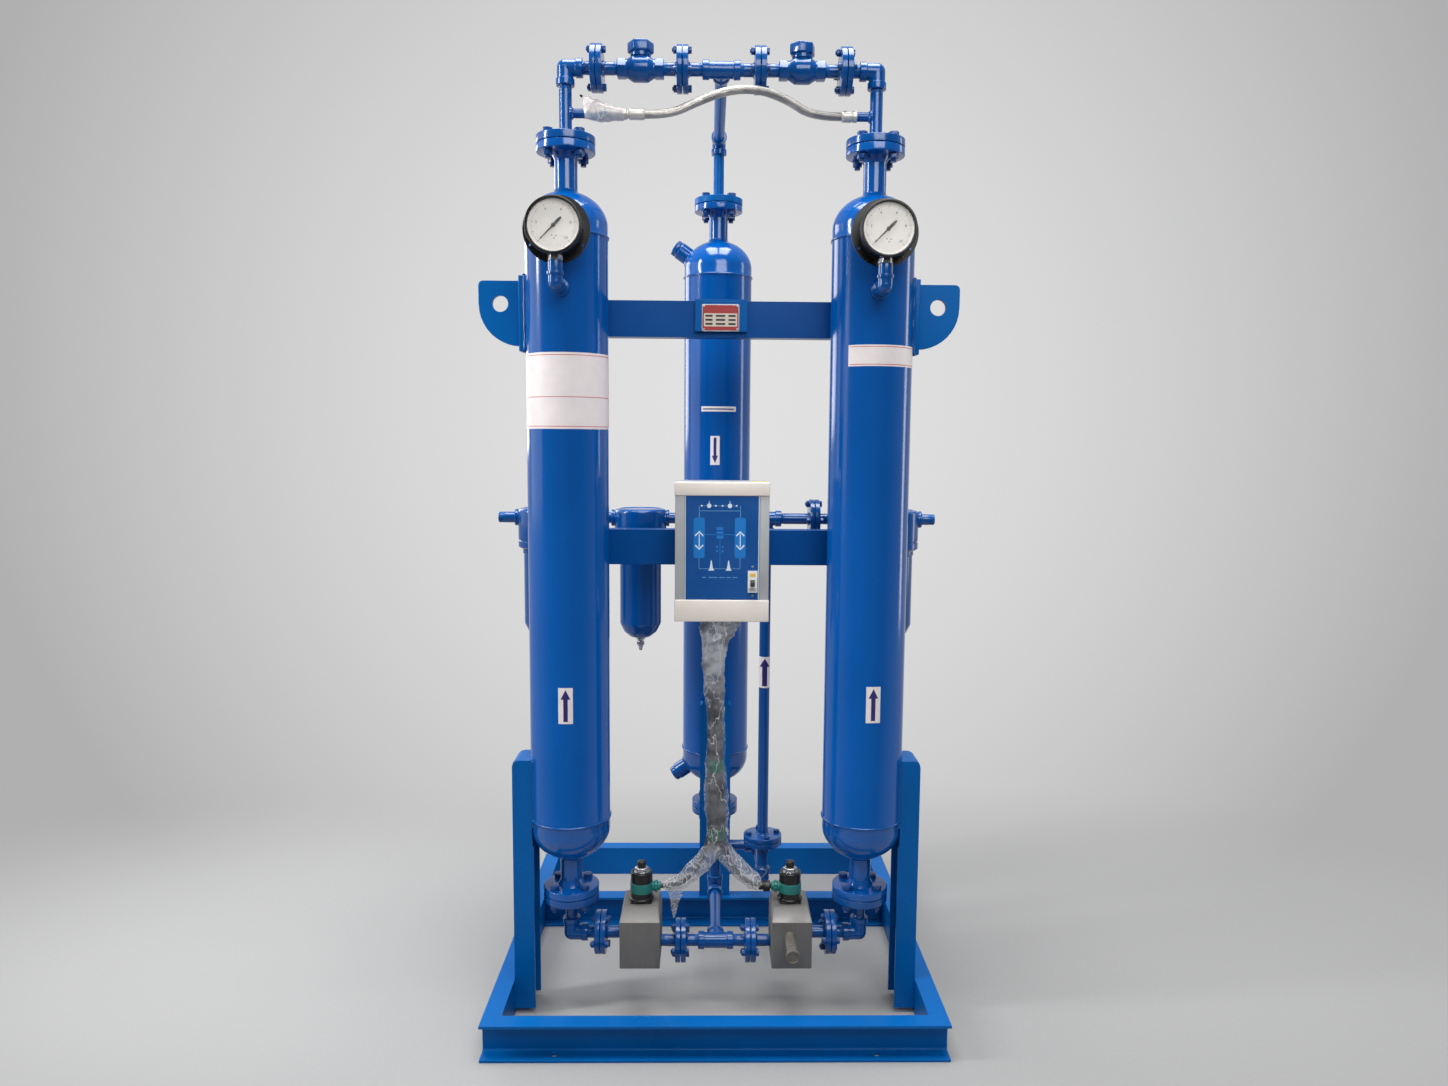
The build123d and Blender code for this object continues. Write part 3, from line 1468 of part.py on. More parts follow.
breaker_front_y = box_front_y + band_proud - panel_thickness - breaker_proud
toggle_z = breaker_z - 4
slot_half = toggle_width / 2 + toggle_side_gap
with BuildPart() as circuit_breaker:
    with BuildSketch(breaker_plane.offset(box_front_y - breaker_front_y)):
        Rectangle(breaker_width, breaker_height)
    extrude(amount=-breaker_depth)
    slot_plane = Plane(
        origin=(breaker_x - slot_half, breaker_front_y, toggle_z), x_dir=(0, 1, 0), z_dir=(1, 0, 0)
    )
    with BuildSketch(slot_plane):
        Circle(toggle_radius + toggle_slot_gap)
    extrude(amount=2 * slot_half, mode=Mode.SUBTRACT)
    with BuildSketch(slot_plane):
        Circle(toggle_pin_radius)
    extrude(amount=2 * slot_half)
nodes["circuit_breaker"] = circuit_breaker

toggle_tilt = radians(toggle_rest_angle)
toggle_plane = Plane(
    origin=(breaker_x - toggle_width / 2, breaker_front_y, toggle_z),
    x_dir=(0, -cos(toggle_tilt), sin(toggle_tilt)),
    z_dir=(1, 0, 0),
)
with BuildPart() as breaker_toggle:
    with BuildSketch(toggle_plane):
        Circle(toggle_radius)
        with Locations(((toggle_radius + toggle_length) / 2, 0)):
            Rectangle(toggle_radius + toggle_length, toggle_height)
        Circle(toggle_pin_radius + running_gap, mode=Mode.SUBTRACT)
    extrude(amount=toggle_width)
nodes["breaker_toggle"] = breaker_toggle

with BuildPart() as cable_glands:
    with BuildSketch(Plane(origin=(0, gland_y, box_bottom_z), z_dir=(0, 0, 1))):
        with Locations([(x, 0) for x in gland_x]):
            RegularPolygon(box_gland_diameter / 2, 6, major_radius=False)
            Circle(cable_diameter / 2 + running_gap, mode=Mode.SUBTRACT)
    extrude(amount=-box_gland_length)
nodes["cable_glands"] = cable_glands

# Nameplate holder and plate in front of the upper tie bar
holder_middle_z = holder_top_z - holder_height / 2
holder_front_y = bar_front_y - holder_depth
holder_plane = Plane(origin=(holder_x, bar_front_y, holder_middle_z), x_dir=(1, 0, 0), z_dir=(0, -1, 0))
with BuildPart() as nameplate:
    with BuildSketch(holder_plane):
        Rectangle(holder_width, holder_height)
    extrude(amount=holder_depth)
    with BuildSketch(holder_plane):
        Rectangle(holder_width - 12, holder_height + 2)
    extrude(amount=holder_depth - 3, mode=Mode.SUBTRACT)
    with BuildSketch(holder_plane.offset(holder_depth)):
        Rectangle(nameplate_width, nameplate_height)
    extrude(amount=nameplate_thickness)
nodes["nameplate"] = nameplate


def cord(name, points, diameter):
    """A cord of straight runs joined by arcs as large as their runs allow."""
    route = [Vector(*point) for point in points]
    radii = []
    for before, corner, after in zip(route, route[1:], route[2:]):
        turn = radians((corner - before).get_angle(after - corner))
        shorter = min((corner - before).length, (after - corner).length)
        radii.append(0.45 * shorter / (sin(turn / 2) / cos(turn / 2)))
    with BuildPart() as piece:
        with BuildLine() as line:
            FilletPolyline(*route, radius=radii)
        with BuildSketch(Plane(origin=route[0], z_dir=route[1] - route[0])):
            Circle(diameter / 2)
        sweep(path=line.wires()[0])
    length = line.wires()[0].length
    share = piece.part.volume / (length * 3.14159265 * diameter**2 / 4)
    print(name, "radii", [round(radius) for radius in radii])
    print(name, "length", round(length), "share of section by length", round(share, 4))
    return piece


# Purge hose between the risers, arching below the upper manifold
purge_hose = cord(
    "purge_hose",
    [
        (left_hose_x, tower_y, purge_z),
        (-135, tower_y, purge_z),
        (-60, -345, 2484),
        (15, -370, 2504),
        (95, -372, 2508),
        (172, -352, 2488),
        (238, tower_y, purge_z),
        (right_hose_x, tower_y, purge_z),
    ],
    hose_diameter,
)
nodes["purge_hose"] = purge_hose

cable_start_z = box_bottom_z - box_gland_length
cable_end_z = block_top_z + band_bottom + band_height / 2
left_cable = cord(
    "left_cable",
    [
        (gland_x[0], gland_y, cable_start_z),
        (gland_x[0], gland_y, 960),
        (-16, -297, 790),
        (-21, -296, 625),
        (-17, -296, 500),
        (-35, -299, 430),
        (-68, -308, 378),
        (-108, coil_y, cable_end_z),
        (-(block_x - gland_reach), coil_y, cable_end_z),
    ],
    cable_diameter,
)
nodes["left_cable"] = left_cable

right_cable = cord(
    "right_cable",
    [
        (gland_x[1], gland_y, cable_start_z),
        (gland_x[1], gland_y, 965),
        (7, -297, 800),
        (12, -296, 640),
        (8, -296, 515),
        (26, -299, 440),
        (60, -308, 385),
        (104, coil_y, cable_end_z),
        (block_x - gland_reach, coil_y, cable_end_z),
    ],
    cable_diameter,
)
nodes["right_cable"] = right_cable

os.makedirs("parts", exist_ok=True)
for name, node in nodes.items():
    node.part.label = name
    export_step(node.part, "parts/" + name + ".step")
print(len(nodes), "nodes")
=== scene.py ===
"""Studio scene of a twin-tower desiccant air dryer. Metres, front towards -Y, built on the CAD frame.

Sizes are written in millimetres and scaled by MM when a mesh is finished.
"""

from math import asin, cos, pi, radians, sin, sqrt, tan

import bmesh
import bpy
from mathutils import Matrix, Vector
from mathutils import noise as solid_noise


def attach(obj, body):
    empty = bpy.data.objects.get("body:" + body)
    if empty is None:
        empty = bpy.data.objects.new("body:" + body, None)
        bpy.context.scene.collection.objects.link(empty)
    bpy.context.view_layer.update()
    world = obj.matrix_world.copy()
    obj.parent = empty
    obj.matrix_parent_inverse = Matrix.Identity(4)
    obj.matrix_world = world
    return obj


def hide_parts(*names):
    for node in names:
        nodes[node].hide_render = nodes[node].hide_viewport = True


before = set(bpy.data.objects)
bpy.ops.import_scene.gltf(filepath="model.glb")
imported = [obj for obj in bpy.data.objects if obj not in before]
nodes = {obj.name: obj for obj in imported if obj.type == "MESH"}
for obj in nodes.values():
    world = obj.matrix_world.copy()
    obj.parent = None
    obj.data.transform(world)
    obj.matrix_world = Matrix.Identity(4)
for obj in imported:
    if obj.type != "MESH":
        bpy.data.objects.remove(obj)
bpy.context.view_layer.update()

MM = 0.001
SIDES = (-1, 1)
X = Vector((1, 0, 0))
Y = Vector((0, 1, 0))
Z = Vector((0, 0, 1))

# Places and sizes shared with the CAD model
tower_x = 408
tower_y = -320
vessel_y = 305
vessel_radius = 109.55
tower_shell = (558, 2138)
tower_joints = (338, 2375.5)
vessel_shell = (565, 2135)
vessel_joints = (360, 2364.5)
head_skirt = 28
dish_height = 91
half_gasket = 1
large_flange = (77.5, 20)
small_flange = (60, 14)
nozzle_radius = 30.15
pipe_radius = 16.7
fitting_radius = 21.5
collar_radius = 24.5
collar_width = 19
elbow_reach = 46
tee_reach = 50
tee_body = 46
top_z = 2571
bottom_z = 215
inner_bottom_z = 190
line_y = 15
line_z = 1370
outer_top_x = 324.9
inner_top_x = 101.4
check_x = 211.2
check_half = 61
outer_bottom_x = 324.6
inner_bottom_x = 98.6
block_x = 210.2
block_half = 56
riser_x = 150
riser_joint_z = 356
outlet_joint_x = 296
filter_places = (-528, -235, 538)


# shared helpers
def turns(count):
    """Angles evenly round a circle."""
    return [2 * pi * step / count for step in range(count)]


def circle(radius, count, centre=(0, 0)):
    """A circle's outline."""
    return [(centre[0] + radius * cos(t), centre[1] + radius * sin(t)) for t in turns(count)]


def placed(name, data):
    """A new object in the scene."""
    obj = bpy.data.objects.new(name, data)
    bpy.context.scene.collection.objects.link(obj)
    return obj


# camera
photo_width = 1448
photo_focal = 1009.4
camera_place = Vector((-28.3, -3070.9, 1604.6))
camera_pitch = radians(5.745)
camera_yaw = radians(0.918)
camera_roll = radians(0.429)


def make_camera():
    """The camera fitted to the photo."""
    forward = Vector((
        sin(camera_yaw) * cos(camera_pitch), cos(camera_yaw) * cos(camera_pitch), -sin(camera_pitch),
    ))
    level = Vector((cos(camera_yaw), -sin(camera_yaw), 0))
    upright = level.cross(forward)
    right = level * cos(camera_roll) + upright * sin(camera_roll)
    up = upright * cos(camera_roll) - level * sin(camera_roll)
    data = bpy.data.cameras.new("camera")
    data.sensor_width = 36
    data.lens = photo_focal / photo_width * data.sensor_width
    data.clip_end = 100
    camera = placed("camera", data)
    turned = Matrix((right, up, -forward)).transposed().to_4x4()
    camera.matrix_world = Matrix.Translation(camera_place * MM) @ turned
    bpy.context.scene.camera = camera


make_camera()


# materials
def srgb(red, green, blue):
    """A display colour, 0 to 255, as the linear colour that a shader takes."""
    steps = [channel / 255 for channel in (red, green, blue)]
    return [s / 12.92 if s <= 0.04045 else ((s + 0.055) / 1.055) ** 2.4 for s in steps]


def add(tree, kind, inputs=None, **settings):
    """A new shader node, its inputs set to values or linked to sockets."""
    made = tree.nodes.new("ShaderNode" + kind)
    for key, value in settings.items():
        setattr(made, key, value)
    for key, value in (inputs or {}).items():
        if isinstance(value, bpy.types.NodeSocket):
            tree.links.new(value, made.inputs[key])
        else:
            made.inputs[key].default_value = value
    return made


def calc(tree, operation, *values):
    """The result of a math node."""
    return add(tree, "Math", dict(enumerate(values)), operation=operation).outputs[0]


def vector(tree, operation, *values):
    """The outputs of a vector math node."""
    return add(tree, "VectorMath", dict(enumerate(values)), operation=operation).outputs


def blank_tree(owner):
    """The emptied node tree of a material or world."""
    owner.use_nodes = True
    owner.node_tree.nodes.clear()
    return owner.node_tree


def new_material(name):
    """A material, its node tree and the outputs of its texture coordinate node."""
    material = bpy.data.materials.new(name)
    tree = blank_tree(material)
    return material, tree, add(tree, "TexCoord").outputs


def close_material(tree, **inputs):
    """The last nodes of a material: its shader and its output."""
    shader = add(tree, "BsdfPrincipled", {key.replace("_", " "): value for key, value in inputs.items()})
    add(tree, "OutputMaterial", {"Surface": shader.outputs[0]})


def mix(tree, factor, first, second):
    """A colour between two colours."""
    colours = [c if isinstance(c, bpy.types.NodeSocket) else (*c, 1) for c in (first, second)]
    inputs = {0: factor, 6: colours[0], 7: colours[1]}
    return add(tree, "Mix", inputs, data_type="RGBA").outputs[2]


def ranged(tree, value, low, high, start=0.3, end=0.7, **settings):
    """A value brought from the range start..end to low..high."""
    inputs = {"Value": value, "From Min": start, "From Max": end, "To Min": low, "To Max": high}
    return add(tree, "MapRange", inputs, **settings).outputs["Result"]


def noise(tree, place, scale, detail=4, stretch=None):
    """A noise texture's value."""
    if stretch:
        place = add(tree, "Mapping", {"Vector": place, "Scale": stretch}).outputs["Vector"]
    inputs = {"Vector": place, "Scale": scale, "Detail": detail}
    return add(tree, "TexNoise", inputs).outputs["Fac"]


coat_roughness = 0.08


def surface(
    name, colour, roughness, metallic=0, tone=0.12, tone_scale=5, grain=0.15, grain_scale=450,
    stretch=None, coat=0, edge=0, edge_highlight_colour=None, dust=0, alpha=None, spec=0.5,
):
    """A finish with slow tone changes, fine grain, uneven gloss, softened edges, a painted highlight that
    lightens edges towards an edge colour where one is given, and a little dust.
    """
    material, tree, places = new_material(name)
    place = places["Object"]
    broad = noise(tree, place, tone_scale)
    fine = noise(tree, place, grain_scale, 3, stretch)
    dark = [c * (1 - tone) for c in colour]
    light = [min(1, c * (1 + tone)) for c in colour]
    shade = mix(tree, ranged(tree, broad, 0, 1), dark, light)
    shade = mix(tree, ranged(tree, fine, 0, 0.5), shade, [c * (1 - tone) for c in dark])
    normal = None
    geometry = add(tree, "NewGeometry")
    if edge:
        rounded = add(tree, "Bevel", {"Radius": edge * MM}, samples=4)
        normal = rounded.outputs["Normal"]
        # edges mixed towards the edge colour: a painted highlight along rounded edges
        if edge_highlight_colour:
            flat = vector(tree, "DOT_PRODUCT", normal, geometry.outputs["Normal"])["Value"]
            shade = mix(tree, ranged(tree, flat, 0.75, 0, 0.8, 0.985), shade, edge_highlight_colour)
    if dust:
        upward = add(tree, "SeparateXYZ", {0: geometry.outputs["Normal"]}).outputs["Z"]
        settled = ranged(tree, upward, 0, dust, 0.6, 1)
        amount = calc(tree, "MULTIPLY", settled, broad)
        shade = mix(tree, amount, shade, srgb(196, 192, 184))
    gloss = ranged(tree, broad, roughness * 0.8, min(1, roughness * 1.3))
    inputs = {"Strength": grain, "Distance": 0.0004, "Height": fine}
    if normal:
        inputs["Normal"] = normal
    bump = add(tree, "Bump", inputs).outputs["Normal"]
    extras = {"Coat_Weight": coat, "Coat_Roughness": coat_roughness} if coat else {}
    if alpha is not None:
        extras["Alpha"] = ranged(tree, noise(tree, place, 60), *alpha)
    close_material(
        tree, Base_Color=shade, Roughness=gloss, Metallic=metallic, Normal=bump, Specular_IOR_Level=spec,
        **extras,
    )
    return material


def braid():
    """Crossed strands of a braided steel hose, laid out along and round the tube."""
    material, tree, places = new_material("steel_braid")
    place = places["UV"]
    strands = []
    for lean in (1, -1):
        turned = add(tree, "Mapping", {"Vector": place, "Scale": (150, 9 * lean, 1)})
        inputs = {"Vector": turned.outputs["Vector"], "Scale": 1, "Distortion": 0.4}
        strands.append(add(tree, "TexWave", inputs, bands_direction="DIAGONAL").outputs["Fac"])
    weave = calc(tree, "MAXIMUM", strands[0], strands[1])
    shade = mix(tree, weave, srgb(58, 58, 58), srgb(186, 184, 180))
    streak = noise(tree, add(tree, "TexCoord").outputs["Object"], 16, 3)
    shade = mix(tree, ranged(tree, streak, 0, 0.5, 0.45, 0.62), shade, srgb(226, 220, 210))
    bump = add(tree, "Bump", {"Strength": 0.7, "Distance": 0.0008, "Height": weave}).outputs["Normal"]
    gloss = ranged(tree, weave, 0.55, 0.3, 0, 1)
    close_material(tree, Base_Color=shade, Metallic=0.85, Roughness=gloss, Normal=bump)
    return material


# One blue paint in three shades: paint_blue for the shells, a darker copy for pipework and tie bars as
# painted shade, and a lighter copy for the frame as painted light on its top faces.
paint_blue = srgb(0, 85, 166)
shaded_pipe_blue = srgb(0, 76, 148)
lit_frame_blue = srgb(0, 94, 168)
# a paler blue that edges lighten to: a painted highlight
edge_highlight_blue = srgb(26, 120, 204)
paint = surface(
    "blue_paint", shaded_pipe_blue, 0.18, tone=0.1, grain=0.05, grain_scale=260, coat=0.25, edge=1.6,
    edge_highlight_colour=edge_highlight_blue, dust=0.02, spec=0.4,
)
smooth_paint = surface(
    "blue_paint_shell", paint_blue, 0.13, tone=0.08, tone_scale=3, grain=0.04, grain_scale=220, spec=0.6,
)
frame_paint = surface(
    "blue_paint_frame", lit_frame_blue, 0.32, tone=0.1, tone_scale=4, grain=0.05, grain_scale=220, edge=1.8,
    edge_highlight_colour=edge_highlight_blue, spec=0.12,
)
# the tie bars' edges lighten to the shells' blue: a painted highlight
shaded_bar_paint = surface(
    "blue_paint_bars", shaded_pipe_blue, 0.3, tone=0.1, tone_scale=4, grain=0.05, grain_scale=220, edge=1.8,
    edge_highlight_colour=paint_blue, dust=0.02, spec=0.18,
)
thread_steel = surface("bolt_steel", srgb(10, 70, 136), 0.3, tone=0.2, grain=0.3, coat=0.15, spec=0.4)
bright = surface(
    "bright_metal", srgb(196, 198, 200), 0.28, 0.95, tone=0.1, grain=0.25, grain_scale=900, edge=0.5,
)
# edges lighten to a pale grey: a painted highlight
block_steel = surface(
    "block_steel", srgb(120, 118, 115), 0.45, 0.35, tone=0.12, tone_scale=14, grain=0.5, grain_scale=260,
    stretch=(1, 1, 0.08), edge=1.8, edge_highlight_colour=srgb(206, 205, 202),
)
sleeve_steel = surface(
    "sleeve_steel", srgb(206, 204, 198), 0.34, 0.45, tone=0.14, tone_scale=30, grain=0.3, grain_scale=700,
    edge=0.6,
)
bare_steel = surface("bare_steel", srgb(140, 140, 138), 0.45, 0.8, grain=0.4, edge=0.8)
silencer_grey = surface(
    "sintered_silencer", srgb(112, 108, 101), 0.6, 0.3, tone=0.3, tone_scale=90, grain=1, grain_scale=700,
)
# edges lighten to a dark grey: a painted highlight
black = surface(
    "black_plastic", srgb(17, 17, 18), 0.3, tone=0.25, grain=0.3, grain_scale=1200, edge=0.8,
    edge_highlight_colour=srgb(52, 52, 54),
)
green = surface("green_plastic", srgb(22, 118, 112), 0.35, grain=0.3, grain_scale=1000, edge=0.8)
rubber = surface("gasket_rubber", srgb(32, 33, 36), 0.8, grain=0.6, grain_scale=900)
white = surface("element_white", srgb(226, 224, 216), 0.85, grain=1, grain_scale=500)
desiccant = surface(
    "desiccant_beads", srgb(222, 216, 204), 0.8, tone=0.3, tone_scale=250, grain=1, grain_scale=260,
)
cable = surface("cable_grey", srgb(58, 61, 66), 0.5, tone=0.2, tone_scale=40, grain=0.4, grain_scale=700)
steel_braid = braid()


# cords
def cord(name, route, diameter, finish):
    """One hose or cable on the route and sizes of its CAD node, which it replaces."""
    data = bpy.data.curves.new(name + "_run", "CURVE")
    data.dimensions = "3D"
    spline = data.splines.new("NURBS")
    spline.points.add(len(route) - 1)
    for point, place in zip(spline.points, route):
        point.co = (*(Vector(place) * MM), 1)
    spline.order_u = 3
    spline.use_endpoint_u = True
    data.resolution_u = 16
    data.bevel_depth = diameter / 2 * MM
    data.bevel_resolution = 6
    data.use_fill_caps = True
    data.materials.append(finish)
    obj = placed(name + "_run", data)
    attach(obj, "skid")
    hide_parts(name)
    tuple(Vector(route[0]) * MM)


hose_diameter = 22
hose_route = (
    (-200, -320, 2457), (-135, -320, 2457), (-60, -345, 2484), (15, -370, 2504), (95, -372, 2508),
    (172, -352, 2488), (238, -320, 2457), (316, -320, 2457),
)
cable_diameter = 13
left_cable_route = (
    (-24, -290, 1092), (-24, -290, 960), (-16, -297, 790), (-21, -296, 625), (-17, -296, 500),
    (-35, -299, 430), (-68, -308, 378), (-108, -318, 350), (-156, -318, 350),
)
right_cable_route = (
    (14, -290, 1092), (14, -290, 965), (7, -297, 800), (12, -296, 640), (8, -296, 515), (26, -299, 440),
    (60, -308, 385), (104, -318, 350), (156, -318, 350),
)
cord("purge_hose", hose_route, hose_diameter, steel_braid)
cord("left_cable", left_cable_route, cable_diameter, cable)
cord("right_cable", right_cable_route, cable_diameter, cable)


# mesh helpers; each draws into mesh, which piece() turns into an object and empties
mesh = bmesh.new()


def at(origin, axis=Z, across=None):
    """A place whose z runs along axis and whose x runs along across."""
    axis = Vector(axis).normalized()
    if across is None:
        across = X if abs(axis.x) < 0.9 else Y
    across = (Vector(across) - axis * axis.dot(Vector(across))).normalized()
    turned = Matrix((across, axis.cross(across), axis)).transposed().to_4x4()
    return Matrix.Translation(Vector(origin)) @ turned


def soften(points, closed=False, steps=4):
    """A flat outline or profile; a point's third value rounds its corner by that radius."""
    made = []
    for index, point in enumerate(points):
        corner = Vector(point[:2])
        at_end = not closed and index in (0, len(points) - 1)
        if len(point) < 3 or at_end:
            made.append(tuple(corner))
            continue
        before = Vector(points[index - 1][:2]) - corner
        after = Vector(points[(index + 1) % len(points)][:2]) - corner
        back = point[2] / tan(before.angle(after) / 2)
        back = min(back, 0.49 * before.length, 0.49 * after.length)
        start = corner + before.normalized() * back
        end = corner + after.normalized() * back
        for step in range(steps + 1):
            share = step / steps
            made.append(tuple(start.lerp(corner, share).lerp(corner.lerp(end, share), share)))
    return made


def skin(rings, closed=False, caps=True, finish=0):
    """Faces between rings of vertices; a ring of one vertex closes to a point."""
    pairs = list(zip(rings, rings[1:]))
    if closed:
        pairs.append((rings[-1], rings[0]))
    made = []
    for low, high in pairs:
        count = max(len(low), len(high))
        for index in range(count):
            after = (index + 1) % count
            corners = [low[index % len(low)], low[after % len(low)]]
            corners += [high[after % len(high)], high[index % len(high)]]
            corners = list(dict.fromkeys(corners))
            if len(corners) > 2:
                made.append(mesh.faces.new(corners))
    if caps and not closed:
        made += [mesh.faces.new(loop) for loop in (rings[0], rings[-1]) if len(loop) > 2]
    for face in made:
        face.material_index = finish


def ring(spots):
    """New vertices at spots."""
    return [mesh.verts.new(spot) for spot in spots]


def ring_at(place, outline, height):
    """Vertices along a flat outline at a height of the place."""
    return ring(place @ Vector((*spot, height)) for spot in outline)


def lathe(place, profile, segments=48, finish=0, closed=False, steps=4):
    """Turn a softened profile of (radius, height) points round the place's z axis; both ends of one
    that starts off the axis run to it."""
    if profile[0][0] and not closed:
        profile = [(0, profile[0][1]), *profile, (0, profile[-1][1])]
    rings = []
    for radius, height in soften(profile, steps=steps):
        rings.append(ring_at(place, [(0, 0)] if radius < 1e-6 else circle(radius, segments), height))
    skin(rings, closed=closed, caps=not closed, finish=finish)


def inset(outline, amount):
    """A closed outline moved inwards; the outline runs anticlockwise."""
    made = []
    for index, point in enumerate(outline):
        corner = Vector(point)
        before = (corner - Vector(outline[index - 1])).normalized()
        after = (Vector(outline[(index + 1) % len(outline)]) - corner).normalized()
        inwards = Vector((-before.y - after.y, before.x + after.x))
        inwards.normalize()
        lean = max(0.5, inwards.dot(Vector((-before.y, before.x))))
        made.append(tuple(corner + inwards * amount / lean))
    return made


def prism(place, outline, low, high, soft=0, finish=0):
    """A flat outline extruded between two heights, its end edges rounded."""
    if soft:
        bends = [pi / 2 * step / 3 for step in range(4)]
        steps = [(soft * (1 - sin(b)), soft * (1 - cos(b))) for b in bends]
        levels = [(amount, low + rise) for amount, rise in steps]
        levels += [(amount, high - rise) for amount, rise in reversed(steps)]
    else:
        levels = [(0, low), (0, high)]
    rings = []
    for amount, height in levels:
        flat = inset(outline, amount) if amount > 1e-6 else outline
        rings.append(ring_at(place, flat, height))
    skin(rings, finish=finish)


def rectangle(width, height, radius=0, centre=(0, 0)):
    """A rectangle's outline, its corners rounded where a radius is given."""
    cx, cy = centre
    corners = ((-1, -1), (1, -1), (1, 1), (-1, 1))
    points = [(cx + sx * width / 2, cy + sy * height / 2, radius) for sx, sy in corners]
    return soften(points if radius else [p[:2] for p in points], closed=True)


def block(low, high, soft=1, finish=0):
    """A box between two corners with rounded edges."""
    size = Vector(high) - Vector(low)
    outline = rectangle(size.x, size.y, soft, (low[0] + size.x / 2, low[1] + size.y / 2))
    prism(Matrix.Identity(4), outline, low[2], high[2], soft, finish)


def hexagon(place, flats, low, high, soft=1, finish=0):
    """A hexagon head or nut with its corners turned down at both ends."""
    radius = flats / sqrt(3)
    corners = [(*spot, flats * 0.04) for spot in circle(radius, 6)]
    prism(place, soften(corners, closed=True, steps=2), low, high, soft, finish)


def holed_plate(place, outline, holes, thickness):
    """A flat plate with holes right through, its lower face on the place."""
    rings = [ring_at(place, loop, 0) for loop in [outline, *holes]]
    pairs = [pair for loop in rings for pair in zip(loop, loop[1:] + loop[:1])]
    edges = [mesh.edges.new(pair) for pair in pairs]
    filled = bmesh.ops.triangle_fill(mesh, use_beauty=True, edges=edges)["geom"]
    faces = [item for item in filled if isinstance(item, bmesh.types.BMFace)]
    rise = place.to_3x3() @ Z * thickness
    twins = {vert: mesh.verts.new(vert.co + rise) for loop in rings for vert in loop}
    for face in faces:
        mesh.faces.new([twins[vert] for vert in face.verts])
    for a, b in pairs:
        mesh.faces.new((a, b, twins[b], twins[a]))


def tube(points, radius, segments=20):
    """A round section swept along points; radius may be a list, one for each point."""
    points = [Vector(point) for point in points]
    radii = radius if isinstance(radius, (list, tuple)) else [radius] * len(points)
    ahead = [(b - a).normalized() for a, b in zip(points, points[1:])]
    ways = [ahead[0]] + [(a + b).normalized() for a, b in zip(ahead, ahead[1:])] + [ahead[-1]]
    side = ways[0].orthogonal().normalized()
    rings = []
    for point, way, reach in zip(points, ways, radii):
        side = (side - way * side.dot(way)).normalized()
        other = way.cross(side)
        spots = [point + (side * cos(t) + other * sin(t)) * reach for t in turns(segments)]
        rings.append(ring(spots))
    skin(rings)


def drawn(name):
    """What was drawn, as mesh data; mesh is empty again."""
    data = bpy.data.meshes.new(name)
    mesh.to_mesh(data)
    mesh.clear()
    return data


def piece(name, finishes, slot, replaces=(), body="skid", sharp=32):
    """Finish the drawing as an object that rides on a body."""
    bmesh.ops.recalc_face_normals(mesh, faces=mesh.faces)
    mesh.transform(Matrix.Scale(MM, 4))
    data = drawn(name)
    data.shade_smooth()
    data.set_sharp_from_angle(angle=radians(sharp))
    for finish in finishes if isinstance(finishes, (list, tuple)) else (finishes,):
        data.materials.append(finish)
    obj = placed(name, data)
    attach(obj, body)
    if replaces:
        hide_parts(*replaces)


def painted(name, node, finish=paint, **settings):
    """A painted piece that takes the place of a CAD node."""
    piece(name, finish, "blue_paint", [node], **settings)


def ribs(place, count, radius, profile, segments):
    """Small ribs set evenly round a place's axis."""
    for x, y in circle(radius, count):
        lathe(place @ Matrix.Translation((x, y, 0)), profile, segments)


# vessels
seam_half = 6
seam_height = 1.1


def seam(height):
    """A raised weld bead round a shell."""
    shape = ((0, -1), (0.75, -0.55), (1, 0), (0.75, 0.55), (0, 1))
    return [(vessel_radius + seam_height * rise, height + seam_half * along) for rise, along in shape]


def head(pole_side, shell_end):
    """A dished head from the nozzle to its skirt; pole_side is 1 at the top and -1 below."""
    start = asin((nozzle_radius + 4) / vessel_radius)
    made = []
    for step in range(17):
        turn = start + (pi / 2 - start) * step / 16
        height = shell_end + pole_side * (head_skirt + dish_height * cos(turn))
        made.append((vessel_radius * sin(turn), height))
    return made


def nozzle(end, joint, pole_side):
    """The flanged neck of a vessel, from its joint face to the head."""
    radius, thickness = large_flange
    face = joint - pole_side * half_gasket
    back = face - pole_side * thickness
    pole = end + pole_side * (head_skirt + dish_height)
    return soften([
        (0, face), (radius, face, 1.5), (radius, back, 2.5), (nozzle_radius + 9, back, 3),
        (nozzle_radius, back - pole_side * 18, 6), (nozzle_radius, pole + pole_side * 3, 5),
        (nozzle_radius + 4, pole - pole_side * 4.4),
    ])


def vessel(name, node, place, shell, joints):
    """A tower or the dry-air vessel, turned in one from joint to joint."""
    low, high = shell
    profile = nozzle(low, joints[0], -1)[:-1] + head(-1, low)
    profile += seam(low) + seam(high)
    profile += list(reversed(nozzle(high, joints[1], 1)[:-1] + head(1, high)))
    lathe(at((*place, 0)), profile, 128)
    painted(name, node, smooth_paint, sharp=50)


vessel("left_tower_shell", "left_tower", (-tower_x, tower_y), tower_shell, tower_joints)
vessel("right_tower_shell", "right_tower", (tower_x, tower_y), tower_shell, tower_joints)
vessel("centre_vessel_shell", "centre_vessel", (0, vessel_y), vessel_shell, vessel_joints)


# pipework
def flanged_pipe(joint, run, length, large=False):
    """A pipe that starts with a flange at a joint, its far end threaded."""
    radius, thickness = large_flange if large else small_flange
    back = half_gasket + thickness
    end = back + length
    profile = [(radius, half_gasket, 1.2), (radius, back, 1.8)]
    profile += [(pipe_radius + 5, back, 2), (pipe_radius, back + 5, 2)]
    if length > 20:
        for turn in range(4):
            low = end - 9 + turn * 2.3
            profile += [(pipe_radius, low), (pipe_radius - 0.8, low + 1.1)]
    lathe(at(joint, run), profile + [(pipe_radius - 0.5, end)], 64)


